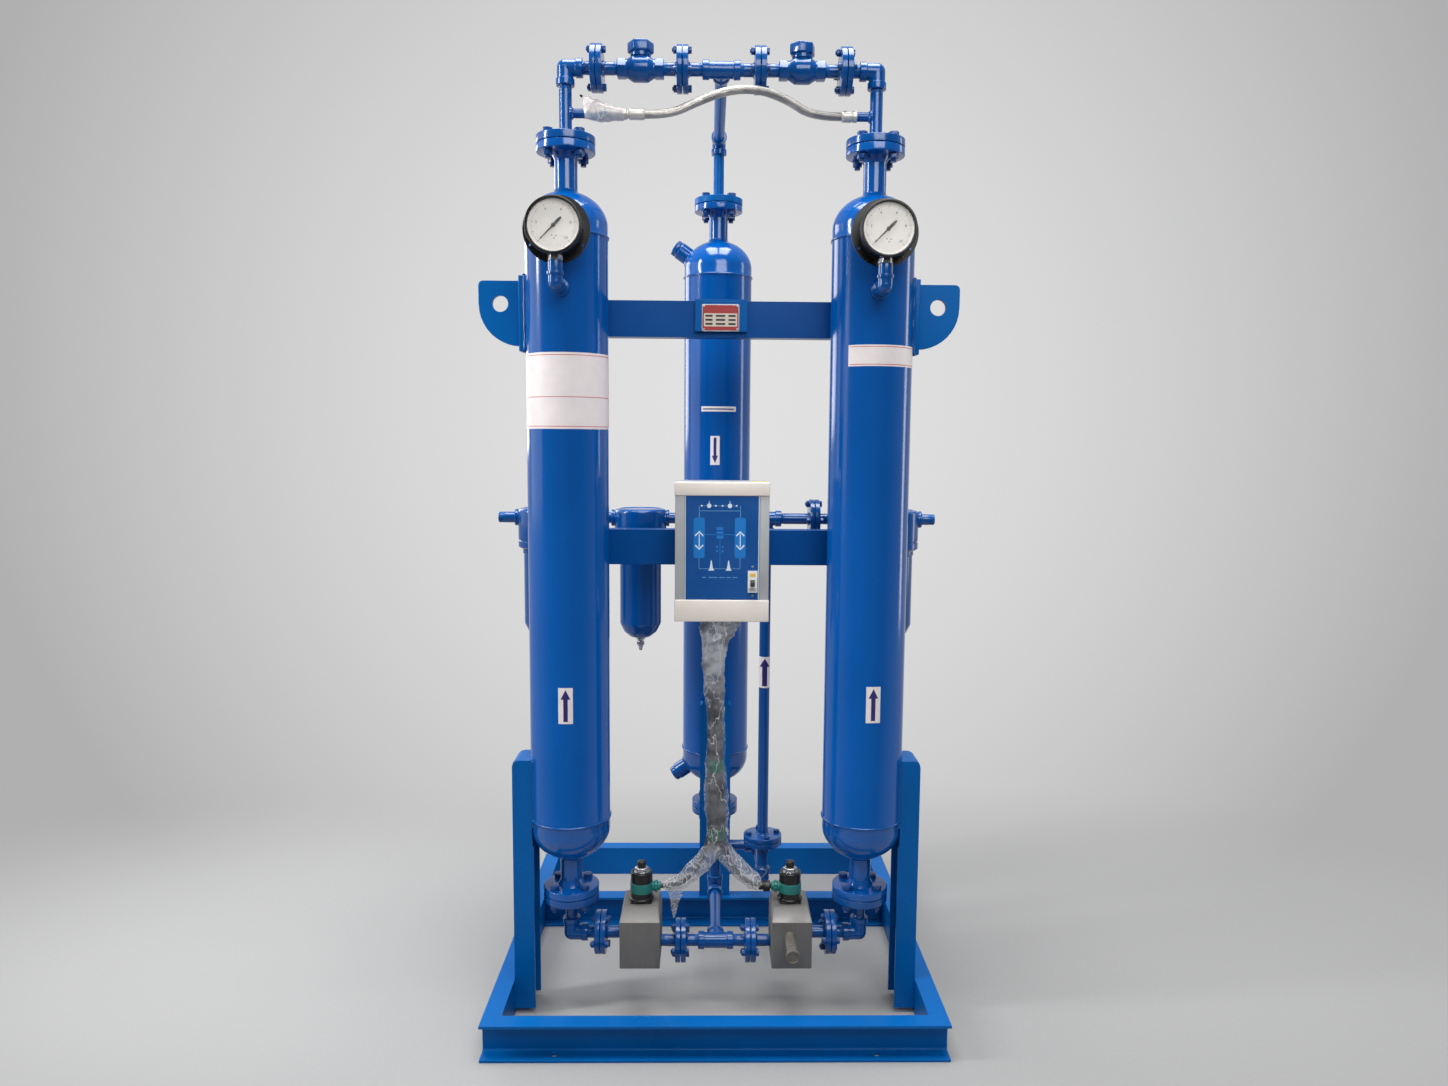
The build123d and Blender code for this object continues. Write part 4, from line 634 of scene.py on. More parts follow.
def ball(radius, steps):
    """The profile of a ball."""
    return [(radius * sin(pi * step / steps), -radius * cos(pi * step / steps)) for step in range(steps + 1)]


def collar(place, reach):
    """The banded end of a threaded fitting."""
    inner, outer = fitting_radius, collar_radius
    start = reach - collar_width
    profile = [(inner - 2, start), (outer, start + 1.5, 2), (outer, reach, 2.2), (pipe_radius - 1, reach)]
    lathe(place, profile, 56)


def elbow(corner, first, second):
    """A threaded elbow with a round back and banded ends."""
    corner, first, second = Vector(corner), Vector(first), Vector(second)
    for way in (first, second):
        straight(corner, corner + way * (elbow_reach - 4), fitting_radius)
        collar(at(corner, way), elbow_reach)
    lathe(at(corner, first), ball(fitting_radius, 14), 40)


def tee(centre):
    """A threaded tee whose run lies along x and whose branch faces back."""
    centre = Vector(centre)
    straight(centre - X * tee_body, centre + X * tee_body, fitting_radius)
    straight(centre, centre + Y * tee_body, fitting_radius)
    for way in (X, -X, Y):
        collar(at(centre, way), tee_reach)


def straight(start, end, radius=pipe_radius):
    """A plain pipe between two points."""
    tube((start, end), radius, 40)


flange_back = half_gasket + small_flange[1]


def nipples(joint_x, z, outer_end, inner_end):
    """The flanged nipples of a joint on each side of the dryer, up to where their fittings start."""
    for side in SIDES:
        for towards, end_x in ((1, outer_end), (-1, inner_end)):
            length = abs(joint_x - end_x) - flange_back
            flanged_pipe((side * joint_x, tower_y, z), (side * towards, 0, 0), length)


nipples(outer_top_x, top_z, tower_x - elbow_reach, check_x + check_half)
nipples(inner_top_x, top_z, check_x - check_half, tee_reach)
painted("upper_nipples", "top_flanged_nipples")

nipples(outer_bottom_x, bottom_z, tower_x - elbow_reach, block_x + block_half)
nipples(inner_bottom_x, inner_bottom_z, block_x - block_half, tee_reach)
painted("lower_nipples", "bottom_flanged_nipples")

for side in SIDES:
    elbow((side * tower_x, tower_y, top_z), -Z, -X * side)
    elbow((side * tower_x, tower_y, bottom_z), Z, -X * side)
elbow((0, vessel_y, top_z), -Y, -Z)
painted("manifold_bends", "manifold_elbows")

tee((0, tower_y, top_z))
tee((0, tower_y, inner_bottom_z))
painted("manifold_tees", "pipe_tees")

large_back = half_gasket + large_flange[1]
for side in SIDES:
    joint = (side * tower_x, tower_y, tower_joints[0])
    flanged_pipe(joint, -Z, tower_joints[0] - large_back - bottom_z - elbow_reach, True)
painted("lower_drop_pipes", "bottom_drop_pipes")

joint = (0, vessel_y, vessel_joints[1])
flanged_pipe(joint, Z, top_z - elbow_reach - vessel_joints[1] - large_back, True)
straight((0, tower_y + tee_reach, top_z), (0, vessel_y - elbow_reach, top_z))
painted("vessel_feed_pipes", "vessel_top_pipes", frame_paint)


# lifting lugs
lug_root, lug_tip = 533, 642
lug_low, lug_high = 1854, 2025
lug_sweep = lug_tip - lug_root - 0.5
lug_middle = lug_low + lug_sweep
lug_corner = 15
lug_hole = circle(21.5, 48, (585, 1965))
lug_thickness = 14
pad_low, pad_high = 1839, 2037
pad_half = 25
pad_root_x = 515.5
for side in SIDES:
    swept = [radians(-90 + 9 * step) for step in range(11)]
    outline = [(lug_root + lug_sweep * cos(t), lug_middle + lug_sweep * sin(t)) for t in swept]
    outline += soften([(lug_tip, lug_middle), (lug_tip, lug_high, lug_corner), (lug_root, lug_high)], steps=8)
    outline = list(dict.fromkeys(outline))
    place = at((0, tower_y + 7 * side, 0), -Y * side, X * side)
    holed_plate(place, outline, [lug_hole], lug_thickness)
    ends = sorted((side * (pad_root_x - 1.5), side * lug_root))
    block((ends[0], tower_y - pad_half, pad_low), (ends[1], tower_y + pad_half, pad_high), 2.5)
painted("lug_plates", "lifting_lugs", frame_paint)


# flange bolts
small_joints = (
    [((side * x, tower_y, top_z), X) for side in SIDES for x in (outer_top_x, inner_top_x)]
    + [((side * outer_bottom_x, tower_y, bottom_z), X) for side in SIDES]
    + [((side * inner_bottom_x, tower_y, inner_bottom_z), X) for side in SIDES]
    + [((outlet_joint_x, line_y, line_z), X), ((riser_x, line_y, riser_joint_z), Z)]
)
large_joints = (
    [((side * tower_x, tower_y, z), Z) for side in SIDES for z in tower_joints]
    + [((0, vessel_y, z), Z) for z in vessel_joints]
)


washer = 1.6
across_washer = 0.58


def bolt(place, half, flats, shank, head_height, nut_height, tail):
    """A hexagon bolt through a flange pair: head, washers, nut and thread end."""
    for way in (1, -1):
        low, high = sorted((way * half, way * (half + washer)))
        reach = flats * across_washer
        lathe(place, [(reach, low), (reach, high)], 24)
    hexagon(place, flats, half + washer, half + washer + head_height, 0.8)
    hexagon(place, flats, -half - washer - nut_height, -half - washer, 0.8)
    start = -half - washer - nut_height
    profile = [(shank, start)]
    for turn in range(int(tail / 2)):
        profile += [(shank - 0.7, start - 2 * turn - 1), (shank, start - 2 * turn - 2)]
    lathe(place, profile + [(shank - 1, start - tail)], 20)


def flange_bolts(name, joints, flange, pitch, sizes, first_turn, spread=0):
    """Four bolts for each joint; sizes are a bolt's flats, shank, head height, nut height and tail."""
    for index, (centre, axis) in enumerate(joints):
        across = Y if abs(axis.x) > 0.9 else X
        base = at(centre, axis, across)
        for quarter in range(4):
            turn = radians(first_turn + spread * sin(2.1 * index) + 90 * quarter)
            spot = Vector((pitch * cos(turn), pitch * sin(turn), 0))
            twist = Matrix.Rotation(radians(17 * quarter + 8), 4, "Z")
            place = base @ Matrix.Translation(spot) @ twist
            bolt(place, half_gasket + flange[1], *sizes)
    piece(name, thread_steel, "blue_paint")


flange_bolts("small_flange_bolts", small_joints, small_flange, 46, (17, 5.5, 7, 8, 3), 12, 9)
flange_bolts("large_flange_bolts", large_joints, large_flange, 58, (24, 8, 10, 13, 8), 45)


# risers, feed and drain lines
purge_z = 2457
stub_radius = 12
stub_reach = 51
head_port = 88
line_end = 666
port_bore = 13.3
port_bore_depth = 36

for side in SIDES:
    joint = (side * tower_x, tower_y, tower_joints[1])
    flanged_pipe(joint, Z, top_z - elbow_reach - tower_joints[1] - large_back, True)
    profile = [(0, 8), (stub_radius + 5, 12), (stub_radius + 4, 18, 3), (stub_radius, 21, 2)]
    profile += [(stub_radius, stub_reach, 1), (0, stub_reach)]
    lathe(at((side * tower_x, tower_y, purge_z), -X * side), profile, 40)
painted("tower_risers", "top_risers")


def port_stub(start, way):
    """The open threaded end of the line."""
    length = line_end - abs(start)
    profile = [(pipe_radius, 0)]
    for turn in range(8):
        low = length - 18 + turn * 2.2
        profile += [(pipe_radius, low), (pipe_radius - 0.9, low + 1.1)]
    profile += [(pipe_radius - 1.2, length), (port_bore, length), (port_bore, length - port_bore_depth)]
    lathe(at((start, line_y, line_z), X * way), profile, 48)


ports = [(x - head_port, x + head_port) for x in filter_places]
port_stub(ports[0][0], -1)
straight((ports[0][1], line_y, line_z), (ports[1][0], line_y, line_z))
straight((ports[1][1], line_y, line_z), (-elbow_reach, line_y, line_z))
straight((0, line_y, line_z - elbow_reach), (0, line_y, inner_bottom_z + elbow_reach))
straight((0, line_y - elbow_reach, inner_bottom_z), (0, tower_y + tee_reach, inner_bottom_z))
painted("feed_line", "inlet_pipes")

elbow((0, line_y, line_z), -X, -Z)
elbow((0, line_y, inner_bottom_z), Z, -Y)
elbow((0, vessel_y, bottom_z), Z, X)
elbow((riser_x, vessel_y, bottom_z), -X, -Y)
elbow((riser_x, line_y, bottom_z), Y, Z)
elbow((riser_x, line_y, line_z), -Z, X)
painted("line_bends", "line_elbows")

drop = vessel_joints[0] - large_back - bottom_z - elbow_reach
flanged_pipe((0, vessel_y, vessel_joints[0]), -Z, drop, True)
straight((elbow_reach, vessel_y, bottom_z), (riser_x - elbow_reach, vessel_y, bottom_z))
straight((riser_x, vessel_y - elbow_reach, bottom_z), (riser_x, line_y + elbow_reach, bottom_z))
riser_joint = (riser_x, line_y, riser_joint_z)
flanged_pipe(riser_joint, -Z, riser_joint_z - flange_back - bottom_z - elbow_reach)
flanged_pipe(riser_joint, Z, line_z - elbow_reach - riser_joint_z - flange_back)
outlet_joint = (outlet_joint_x, line_y, line_z)
flanged_pipe(outlet_joint, -X, outlet_joint_x - flange_back - riser_x - elbow_reach)
flanged_pipe(outlet_joint, X, ports[2][0] - outlet_joint_x - flange_back)
port_stub(ports[2][1], 1)
painted("dry_air_line", "outlet_pipes")


# check valves
for side in SIDES:
    centre = Vector((side * check_x, tower_y, top_z))
    for way in (X, -X):
        hexagon(at(centre, way, Y), 46, 37, check_half, 2.5)
    belly = [(22, 42), (24, 34, 6), (33.5, 19, 14)]
    lathe(at(centre, X), [(r, -h, *soft) for r, h, *soft in belly] + belly[::-1], 56, steps=6)
    neck = [(0, 8), (31.5, 10), (25, 20, 6), (23, 26, 2), (23, 30), (0, 30)]
    lathe(at(centre, Z), neck, 48)
painted("check_valve_shells", "check_valve_bodies")

cap_base = 40
cap_top = 66
for side, twist in zip(SIDES, (2, 15)):
    place = at((side * check_x, tower_y, top_z), Z) @ Matrix.Rotation(radians(twist), 4, "Z")
    skirt = [(21, 22), (21, 27), (27, 28, 1.5), (27, cap_base - 2, 1)]
    lathe(place, skirt + [(25, cap_base - 1), (25, cap_base + 2)], 48)
    hexagon(place, 60, cap_base - 2, cap_top, 4)
painted("check_valve_covers", "check_valve_caps")


# plugged couplings of the vessel
plug_angle = radians(35)
plug_face = 156
plug_length = 17
plug_boss = 28
for way, end in ((1, vessel_shell[1]), (-1, vessel_shell[0])):
    place = at((0, vessel_y, end), (-cos(plug_angle), 0, way * sin(plug_angle)))
    boss = [(plug_boss, 90), (plug_boss, plug_face, 4)]
    lathe(place, boss, 48)
    toe = [(27, 106), (33.5, 109), (31.5, 114, 2), (27.5, 118)]
    lathe(place, toe, 48, closed=True)
    if way > 0:
        hexagon(place, 46, plug_face, plug_face + plug_length, 3)
    else:
        tip = plug_face + plug_length
        dome = [(25, plug_face), (25, tip, 11)]
        lathe(place, dome, 40, steps=8)
painted("vessel_couplings", "vessel_plugs")


# filters
head_low, head_high = 1276, 1400
bowl_low = 1003
for x in filter_places:
    place = at((x, line_y, 0))
    profile = [
        (70, head_low, 1), (79, head_low + 6, 3), (79, head_low + 24, 1), (77, head_low + 25.5),
        (77, head_low + 28.5), (79, head_low + 30, 1), (79, head_high - 4, 13), (64, head_high, 5),
        (61, head_high - 2.5, 1),
    ]
    lathe(place, profile, 72)
    for way in (X, -X):
        boss = [(24, 50), (24, 80), (25.5, 81, 1), (25.5, head_port, 2), (17, head_port)]
        lathe(at((x, line_y, line_z), way), boss, 48)
painted("filter_tops", "filter_heads")

for x in filter_places:
    profile = [
        (30, bowl_low, 2), (36, bowl_low + 4, 3), (50, bowl_low + 16, 14), (63, bowl_low + 42, 22),
        (63, head_low - 16, 1), (66, head_low - 14, 2), (66, head_low),
    ]
    lathe(at((x, line_y, 0)), profile, 64, steps=6)
painted("filter_shells", "filter_bowls")

for x in filter_places:
    place = at((x, line_y, bowl_low), -Z)
    hexagon(place, 24, 0, 10, 1.5)
    body = [(8, 10), (8, 14), (11, 15, 1), (11, 27, 1), (8, 28), (7, 34, 1), (4.5, 44, 1)]
    lathe(place, body, 32)
    ribs(place, 16, 11, [(0, 16), (0.9, 16.5), (0.9, 25.5), (0, 26)], 6)
piece("filter_drain_taps", bright, "bright_metal", ["filter_drains"])


# changeover valves
coil_y = -318
block_top = 310
coil_top = 394
coil_plate = 63
block_low = 153
block_back, block_face = -258, -411
block_shoulder = 287
block_width = 111
side_slope = 7
front_slope = 50
block_levels = (
    (block_low, 1.5, 0), (block_low + 1.5, 0, 0), (block_shoulder - 1, 0, 0),
    (block_shoulder + 0.5, 0.7, 1.6), (block_top - 0.8, side_slope - 0.5, front_slope - 1),
    (block_top, side_slope + 0.6, front_slope + 1.5),
)
for side in SIDES:
    rings = []
    for height, sides_in, front_in in block_levels:
        front = block_face + front_in + (0 if front_in else sides_in)
        back = block_back - min(sides_in, 1)
        centre = (side * block_x, (front + back) / 2)
        outline = rectangle(block_width - 2 * sides_in, back - front, 2, centre)
        rings.append(ring((*spot, height) for spot in outline))
    skin(rings)
piece("changeover_blocks", block_steel, "block_steel", ["valve_blocks"])

coil_places = [at((side * block_x, coil_y, 0)) for side in SIDES]
coil_low = block_top + 4
for place in coil_places:
    prism(place, rectangle(coil_plate, coil_plate, 9), block_top, coil_low, 1)
    profile = [
        (35, coil_low, 1), (35, coil_low + 5, 2), (30.5, coil_low + 7, 1), (30.5, coil_top, 6),
        (24, coil_top, 1), (23, coil_top - 1.5),
    ]
    lathe(place, profile, 64)
piece("coil_housings", [black, bright], "black_plastic", ["solenoid_coils"])

band_low, band_high = 336, 364
gland_reach = 54
for side, place in zip(SIDES, coil_places):
    band = [(29, band_low), (32, band_low, 2), (32, band_high, 2), (29, band_high)]
    lathe(place, band, 64, closed=True)
    way = at((side * block_x, coil_y, (band_low + band_high) / 2), -X * side)
    boss = [(13.5, 24), (13.5, 36, 3), (15.5, 38, 1), (15.5, 45, 2), (12, 46, 1), (12, gland_reach, 3)]
    lathe(way, boss, 40)
    ribs(way, 12, 15.2, [(0, 37.5), (1.3, 38.5), (1.3, 44), (0, 45)], 8)
piece("coil_connectors", green, "green_plastic", ["solenoid_connectors"])

for side in SIDES:
    place = at((side * block_x, coil_y, coil_top))
    lathe(place, [(21, -1.5), (21, 1, 0.5)], 40)
    hexagon(place, 34, 1, 12, 2)
    knob = [(10, 12), (10, 14), (12.5, 15, 1), (12.5, 28, 3), (8, 30, 1)]
    lathe(place, knob, 32, 1)
piece("coil_nuts_and_knobs", [bright, black], "bright_metal", ["solenoid_nuts"])

silencer_x = 204.2
silencer_z = 245
block_front = -382
silencer_profile = [
    (12, 0), (12, 5), (16, 7, 1.5), (16, 124), (15.2, 125), (15.2, 127), (16, 128), (16, 131),
    (20, 132, 1.5), (20, 142, 3), (14.5, 142, 1), (13.5, 140),
]
lathe(at((silencer_x, block_front, silencer_z), -Y), silencer_profile, 56)
piece("silencer_body", silencer_grey, "silencer_grey", ["exhaust_silencer"])


# purge fittings
purge_stub_x = 357
left_profile = [
    (13, 0, 1), (13, 84), (11, 85), (11, 86), (14.5, 87, 2), (14.5, 109, 2), (11.4, 110), (11, 114.5),
    (13.8, 115.5, 2), (14.6, 120, 2), (14.6, 152, 3), (12.6, 157, 1),
]
right_profile = [
    (14.5, 0, 1.5), (14.5, 11, 1), (12.4, 12), (12.4, 14), (14.6, 15, 1.5), (14.6, 36, 3), (12.6, 41, 1),
]
for side, profile in zip(SIDES, (left_profile, right_profile)):
    lathe(at((side * purge_stub_x, tower_y, purge_z), -X * side), profile, 48)
piece("hose_end_sleeves", sleeve_steel, "bright_metal", ["hose_fittings"])


# gauges
gauge_z = 2124
gauge_back_y = -497
dial_back, dial_face = 52.5, 54
stem_y = -521.5
tap_z = 1992
gauge_places = [at((side * tower_x, gauge_back_y, gauge_z), -Y, X) for side in SIDES]
dial_white = surface("dial_card", srgb(240, 236, 230), 0.6, tone=0.03, tone_scale=20, grain=0.1)
ink = surface("dial_ink", srgb(60, 60, 64), 0.6, tone=0.2, grain=0.1)
clear = surface("gauge_glass", (0.92, 0.94, 0.95), 0.05, tone=0.01, grain=0.01, alpha=(0.02, 0.05))
needle = surface("pointer_black", srgb(22, 22, 24), 0.45, tone=0.2, grain=0.2, grain_scale=900)


def lettering(place, text, size, finish=0):
    """Plain figures, slightly raised."""
    curve = bpy.data.curves.new("lettering", "FONT")
    curve.body = text
    curve.size = size
    curve.align_x = "CENTER"
    curve.align_y = "CENTER"
    curve.extrude = 0.1
    holder = bpy.data.objects.new("lettering", curve)
    made = bpy.data.meshes.new_from_object(holder)
    start = len(mesh.verts)
    mesh.from_mesh(made)
    mesh.verts.ensure_lookup_table()
    for vert in mesh.verts[start:]:
        vert.co = place @ vert.co
        for face in vert.link_faces:
            face.material_index = finish
    bpy.data.objects.remove(holder)
    bpy.data.meshes.remove(made)


for place in gauge_places:
    holes = [circle(3.2, 16, (76 * cos(t), 76 * sin(t))) for t in map(radians, (90, 210, 330))]
    holed_plate(place, circle(84, 96), holes, 4.5)
    profile = [
        (67, 4.5), (67, 50), (69.5, 51.5, 1.5), (69.5, 66, 3), (64.5, 66, 1), (62.5, 64.5),
        (62.5, dial_back),
    ]
    lathe(place, profile, 96)
piece("gauge_housings", black, "black_plastic", ["gauge_cases"])

for place in gauge_places:
    lathe(place, [(62.2, dial_back), (62.2, dial_face)], 96)
    rim = [(59.5, dial_face), (62.4, dial_face), (62.4, dial_face + 3.5), (60.5, dial_face + 3, 0.5)]
    lathe(place, rim, 96, 0, closed=True)
    for step in range(51):
        turn = radians(-135 + 5.4 * step)
        width, length, reach = (0.5, 3.4, 54.3) if step % 5 else (0.9, 6, 53)
        spot = place @ Matrix.Rotation(-turn, 4, "Z") @ Matrix.Translation((0, reach, dial_face))
        prism(spot, rectangle(width, length), 0, 0.2, 0, 1)
    for number in range(0, 11, 2):
        turn = radians(-135 + 27 * number)
        spot = place @ Matrix.Translation((42.5 * sin(turn), 42.5 * cos(turn), dial_face + 0.1))
        lettering(spot, str(number), 9, 1)
    for dot in ((-4, -24), (6, -25), (1.5, -31)):
        lathe(place @ Matrix.Translation((*dot, dial_face)), [(1.5, 0), (1.5, 0.2)], 16, 1)
piece("dial_faces", [dial_white, ink, bright], "dial_white", ["gauge_dials"])

for place, name in zip(gauge_places, ("left", "right")):
    lathe(place, [(4.2, 56.7), (4.2, 58.2, 0.8)], 28)
    tail = place @ Matrix.Rotation(radians(-45), 4, "Z")
    prism(tail, rectangle(6.5, 17, 2, (0, 14)), 56.8, 58, 0.3)
    piece(name + "_pointer_hub", needle, "pointer_black", body=name + "_gauge_pointer_body")

for side in SIDES:
    corner = (side * tower_x, stem_y, tap_z)
    for way in (Y, Z):
        lathe(at(corner, way), [(18, 0), (18, 17), (21, 18, 1.5), (21, 27, 2), (15, 27)], 48)
    lathe(at(corner), ball(18, 12), 48)
    lathe(at(corner, Y), [(15, 26), (15, 76), (22, 77, 2), (22, 94)], 48)
    lathe(at(corner, Z), [(18, 26), (18, 53, 1.5)], 48)
    hexagon(at(corner, Z), 32, 53, 66.5, 1.5, 1)
piece("gauge_connections", [paint, bright], "blue_paint", ["gauge_stems"])


# timer box
cream = surface(
    "case_cream", srgb(236, 228, 219), 0.42, tone=0.03, tone_scale=9, grain=0.25, grain_scale=800, edge=1.2,
)
case_grey = surface(
    "case_grey", srgb(190, 193, 196), 0.38, 0.25, tone=0.06, tone_scale=6, grain=0.35, grain_scale=500,
    stretch=(1, 1, 0.02), edge=1,
)
panel_blue = surface(
    "panel_blue", srgb(16, 80, 150), 0.4, spec=0.3, tone=0.06, tone_scale=8, grain=0.15, grain_scale=900,
)
pale_blue = surface("diagram_pale_blue", srgb(26, 120, 200), 0.45, tone=0.05, grain=0.1, spec=0.3)
line_blue = surface("diagram_line_blue", srgb(92, 150, 202), 0.45, tone=0.05, grain=0.1)
print_white = surface("diagram_white", srgb(214, 230, 242), 0.5, tone=0.04, grain=0.1)
breaker_white = surface("breaker_white", srgb(236, 236, 232), 0.4, tone=0.03, grain=0.15, edge=0.5)
yellow = surface("yellow_tag", srgb(232, 190, 66), 0.6, tone=0.08, grain=0.3)
box_left, box_right = -117.5, 137.5
box_low, box_high = 1116, 1496
cover_back, cover_front, band_front, panel_front = -338, -354, -360, -356
band_split_low, band_split_high = box_low + 60, box_high - 37
panel_left, panel_right = -90, 110
block((box_left, cover_front, box_low + 8), (box_right, cover_back, box_high - 8), 1.5)
for edge_x in (box_left, panel_right + 1.5):
    low_corner = (edge_x + 0.5, cover_front - 1.5, box_low + 20)
    block(low_corner, (edge_x + 25.5, cover_front + 2, box_high - 20), 0.7)
for low, high in ((box_low, band_split_low), (band_split_high, box_high)):
    block((box_left - 1, band_front, low), (box_right + 1, cover_back + 2, high), 3, 1)
block((85, -352, box_high - 1), (127, -318, box_high + 0.8), 0.5, 2)
piece("box_front", [case_grey, cream, yellow], "case_grey", ["box_cover"])

panel_place = at((0, panel_front, 0), -Y, X)


def panel_bar(x0, z0, x1, z1, finish=0, radius=0, rise=0.3):
    """A printed bar on the panel between two corners."""
    centre = ((x0 + x1) / 2, (z0 + z1) / 2)
    prism(panel_place, rectangle(abs(x1 - x0), abs(z1 - z0), radius, centre), -0.1, rise, 0, finish)


def panel_shape(points):
    """A white printed shape on the panel."""
    prism(panel_place, points, -0.1, 0.5, 0, 3)


column_half = 15
column_low, column_high = 1290, 1400
columns_x = (-52, 59)
line_half = 0.9
for edge_x in (panel_left, panel_right - 1.6):
    panel_bar(edge_x, band_split_low + 0.5, edge_x + 1.6, band_split_high - 0.5, 1)
for column in columns_x:
    panel_bar(column - column_half, column_low, column + column_half, column_high, 0, 7)
    panel_bar(column - line_half, column_high, column + line_half, 1432, 2)
    panel_bar(column - line_half, 1261, column + line_half, column_low, 2)
    panel_bar(column - 1.2, 1320, column + 1.2, 1356, 3, 0, 0.45)
    for tip, way in ((1364, 1), (1312, -1)):
        for lean in SIDES:
            barb = ((0, 0), (0, 5), (10, 15), (12, 12))
            points = [(column + lean * out, tip - way * back) for out, back in barb]
            panel_shape(points if lean * way < 0 else points[::-1])
lines = (
    (columns_x[0], 1417.5, columns_x[1], 1419.2, 2), (columns_x[0] + 8, 1431.2, -34, 1432.6, 2),
    (-16, 1431.2, 22, 1432.6, 2), (39, 1431.2, columns_x[1] - 8, 1432.6, 2),
    (columns_x[0] + 15, 1353, -6, 1355, 0), (14, 1353, columns_x[1] - 15, 1355, 0),
    (3.4, 1267, 5.2, 1343, 0), (columns_x[0], 1260.4, columns_x[1], 1261.9, 2),
)
for line in lines:
    panel_bar(*line)
for valve_x in (-25.5, 30.5):
    panel_shape(circle(6, 24, (valve_x, 1432)))
    panel_bar(valve_x - 0.8, 1437, valve_x + 0.8, 1445, 3)
    for offset in (-20, 18):
        panel_shape(circle(2.4, 12, (valve_x + offset, 1432)))
for low, high in ((1343, 1352), (1355, 1363), (1366, 1374)):
    panel_bar(-5, low, 13, high, 0, 2)
for low in (1306, 1318):
    for left in (-6, 9):
        panel_bar(left, low, left + 5, low + 6, 0)
for cone_x in (-18.7, 28.2):
    panel_shape([(cone_x - 8, 1256), (cone_x + 8, 1256), (cone_x + 5, 1262), (cone_x - 5, 1262)])
    panel_shape([(cone_x - 4.5, 1262), (cone_x + 4.5, 1262), (cone_x + 1, 1284), (cone_x - 1, 1284)])
for low, high in ((-44, -33), (-26, -2), (2, 18), (22, 34), (39, 52)):
    panel_bar(low, 1236.2, high, 1238.4, 2)
piece("panel_diagram", [pale_blue, print_white, line_blue, print_white], "panel_blue")

breaker_x = 93.5
breaker_z = 1226.5
breaker_place = at((breaker_x, band_front, breaker_z), -Y, X)
prism(breaker_place, rectangle(15, 9, 1, (0, 18)), 0.8, 1.3, 0, 1)
prism(breaker_place, rectangle(22, 9, 1, (0, -22)), 0.8, 1.3, 0, 2)
for height in (40, -39.5):
    screw = panel_place @ Matrix.Translation((breaker_x, breaker_z + height, 0))
    lathe(screw, [(3.2, 0), (3.2, 1.6, 1)], 20, 3)
piece("breaker_marks", [breaker_white, yellow, case_grey, bright], "breaker_white")


# nameplate
plate_red = surface("plate_red", srgb(172, 46, 48), 0.4, tone=0.1, grain=0.2)
plate_cream = surface("plate_cream", srgb(216, 204, 186), 0.5, tone=0.08, grain=0.3)
plate_place = at((3, -225.85, 1945.5), -Y, X)
prism(plate_place, rectangle(104, 74, 4), -0.2, 0.3, 0, 0)
prism(plate_place, rectangle(99, 69, 2.5), 0.2, 0.5, 0, 1)
prism(plate_place, rectangle(92, 36, 1.5, (0, -6)), 0.4, 0.7, 0, 2)
for row in range(3):
    for x, width in ((-32, 20), (0, 26), (32, 20)):
        prism(plate_place, rectangle(width, 5, 0.8, (x, 5 - 11 * row)), 0.6, 0.9, 0, 3)
for x in (-46, 46):
    for z in (-31, 31):
        rivet = plate_place @ Matrix.Translation((x, z, 0.3))
        lathe(rivet, [(2.6, 0), (2.6, 1.6, 1.5)], 16)
piece("nameplate_fields", [bright, plate_red, plate_cream, needle], "bright_metal")


# labels and flow arrows
label_white = surface("label_film", srgb(236, 228, 228), 0.4, tone=0.04, tone_scale=30, grain=0.1, spec=0.3)
label_red = surface("label_red", srgb(196, 40, 58), 0.4, tone=0.06, grain=0.1)
label_navy = surface("label_navy", srgb(44, 34, 110), 0.4, tone=0.08, grain=0.1)


def sticker(centre, radius, facing, rows, lift=0.15, finish=0):
    """A label wrapped round a vessel; rows are (distance round, low, high)."""
    rings = []
    for round_it, low, high in rows:
        turn = facing + round_it / radius
        out = Vector((sin(turn), -cos(turn), 0))
        near = Vector((*centre, 0)) + out * (radius + lift)
        far = near + out * 0.3
        corners = ((near, low), (far, low), (far, high), (near, high))
        rings.append(ring(spot + Z * height for spot, height in corners))
    skin(rings, finish=finish)


def strip(centre, radius, facing, start, end, low, high, lift=0.15, finish=0):
    """A rectangular label wrapped round a vessel from start to end."""
    count = max(2, int(abs(end - start) / 4))
    rows = [(start + (end - start) * step / count, low, high) for step in range(count + 1)]
    sticker(centre, radius, facing, rows, lift, finish)


def arrow_label(centre, radius, facing, width, low, high, way):
    """A white label with one flow arrow, way 1 up and -1 down."""
    strip(centre, radius, facing, -width / 2, width / 2, low, high)
    margin = (high - low) * 0.06
    tip, tail = (high - margin, low + margin) if way > 0 else (low + margin, high - margin)
    neck = tip - way * (high - low) * 0.26
    shaft, barb = width * 0.15, width * 0.33
    lows, highs = sorted((neck, tail))
    strip(centre, radius, facing, -shaft, shaft, lows, highs, 0.4, 1)
    rows = []
    for step in range(9):
        along = -barb + barb * step / 4
        edge = tip - way * abs(along) / barb * (high - low) * 0.26
        rows.append((along, *sorted((edge + way * 0.2, neck))))
    sticker(centre, radius, facing, rows, 0.4, 1)


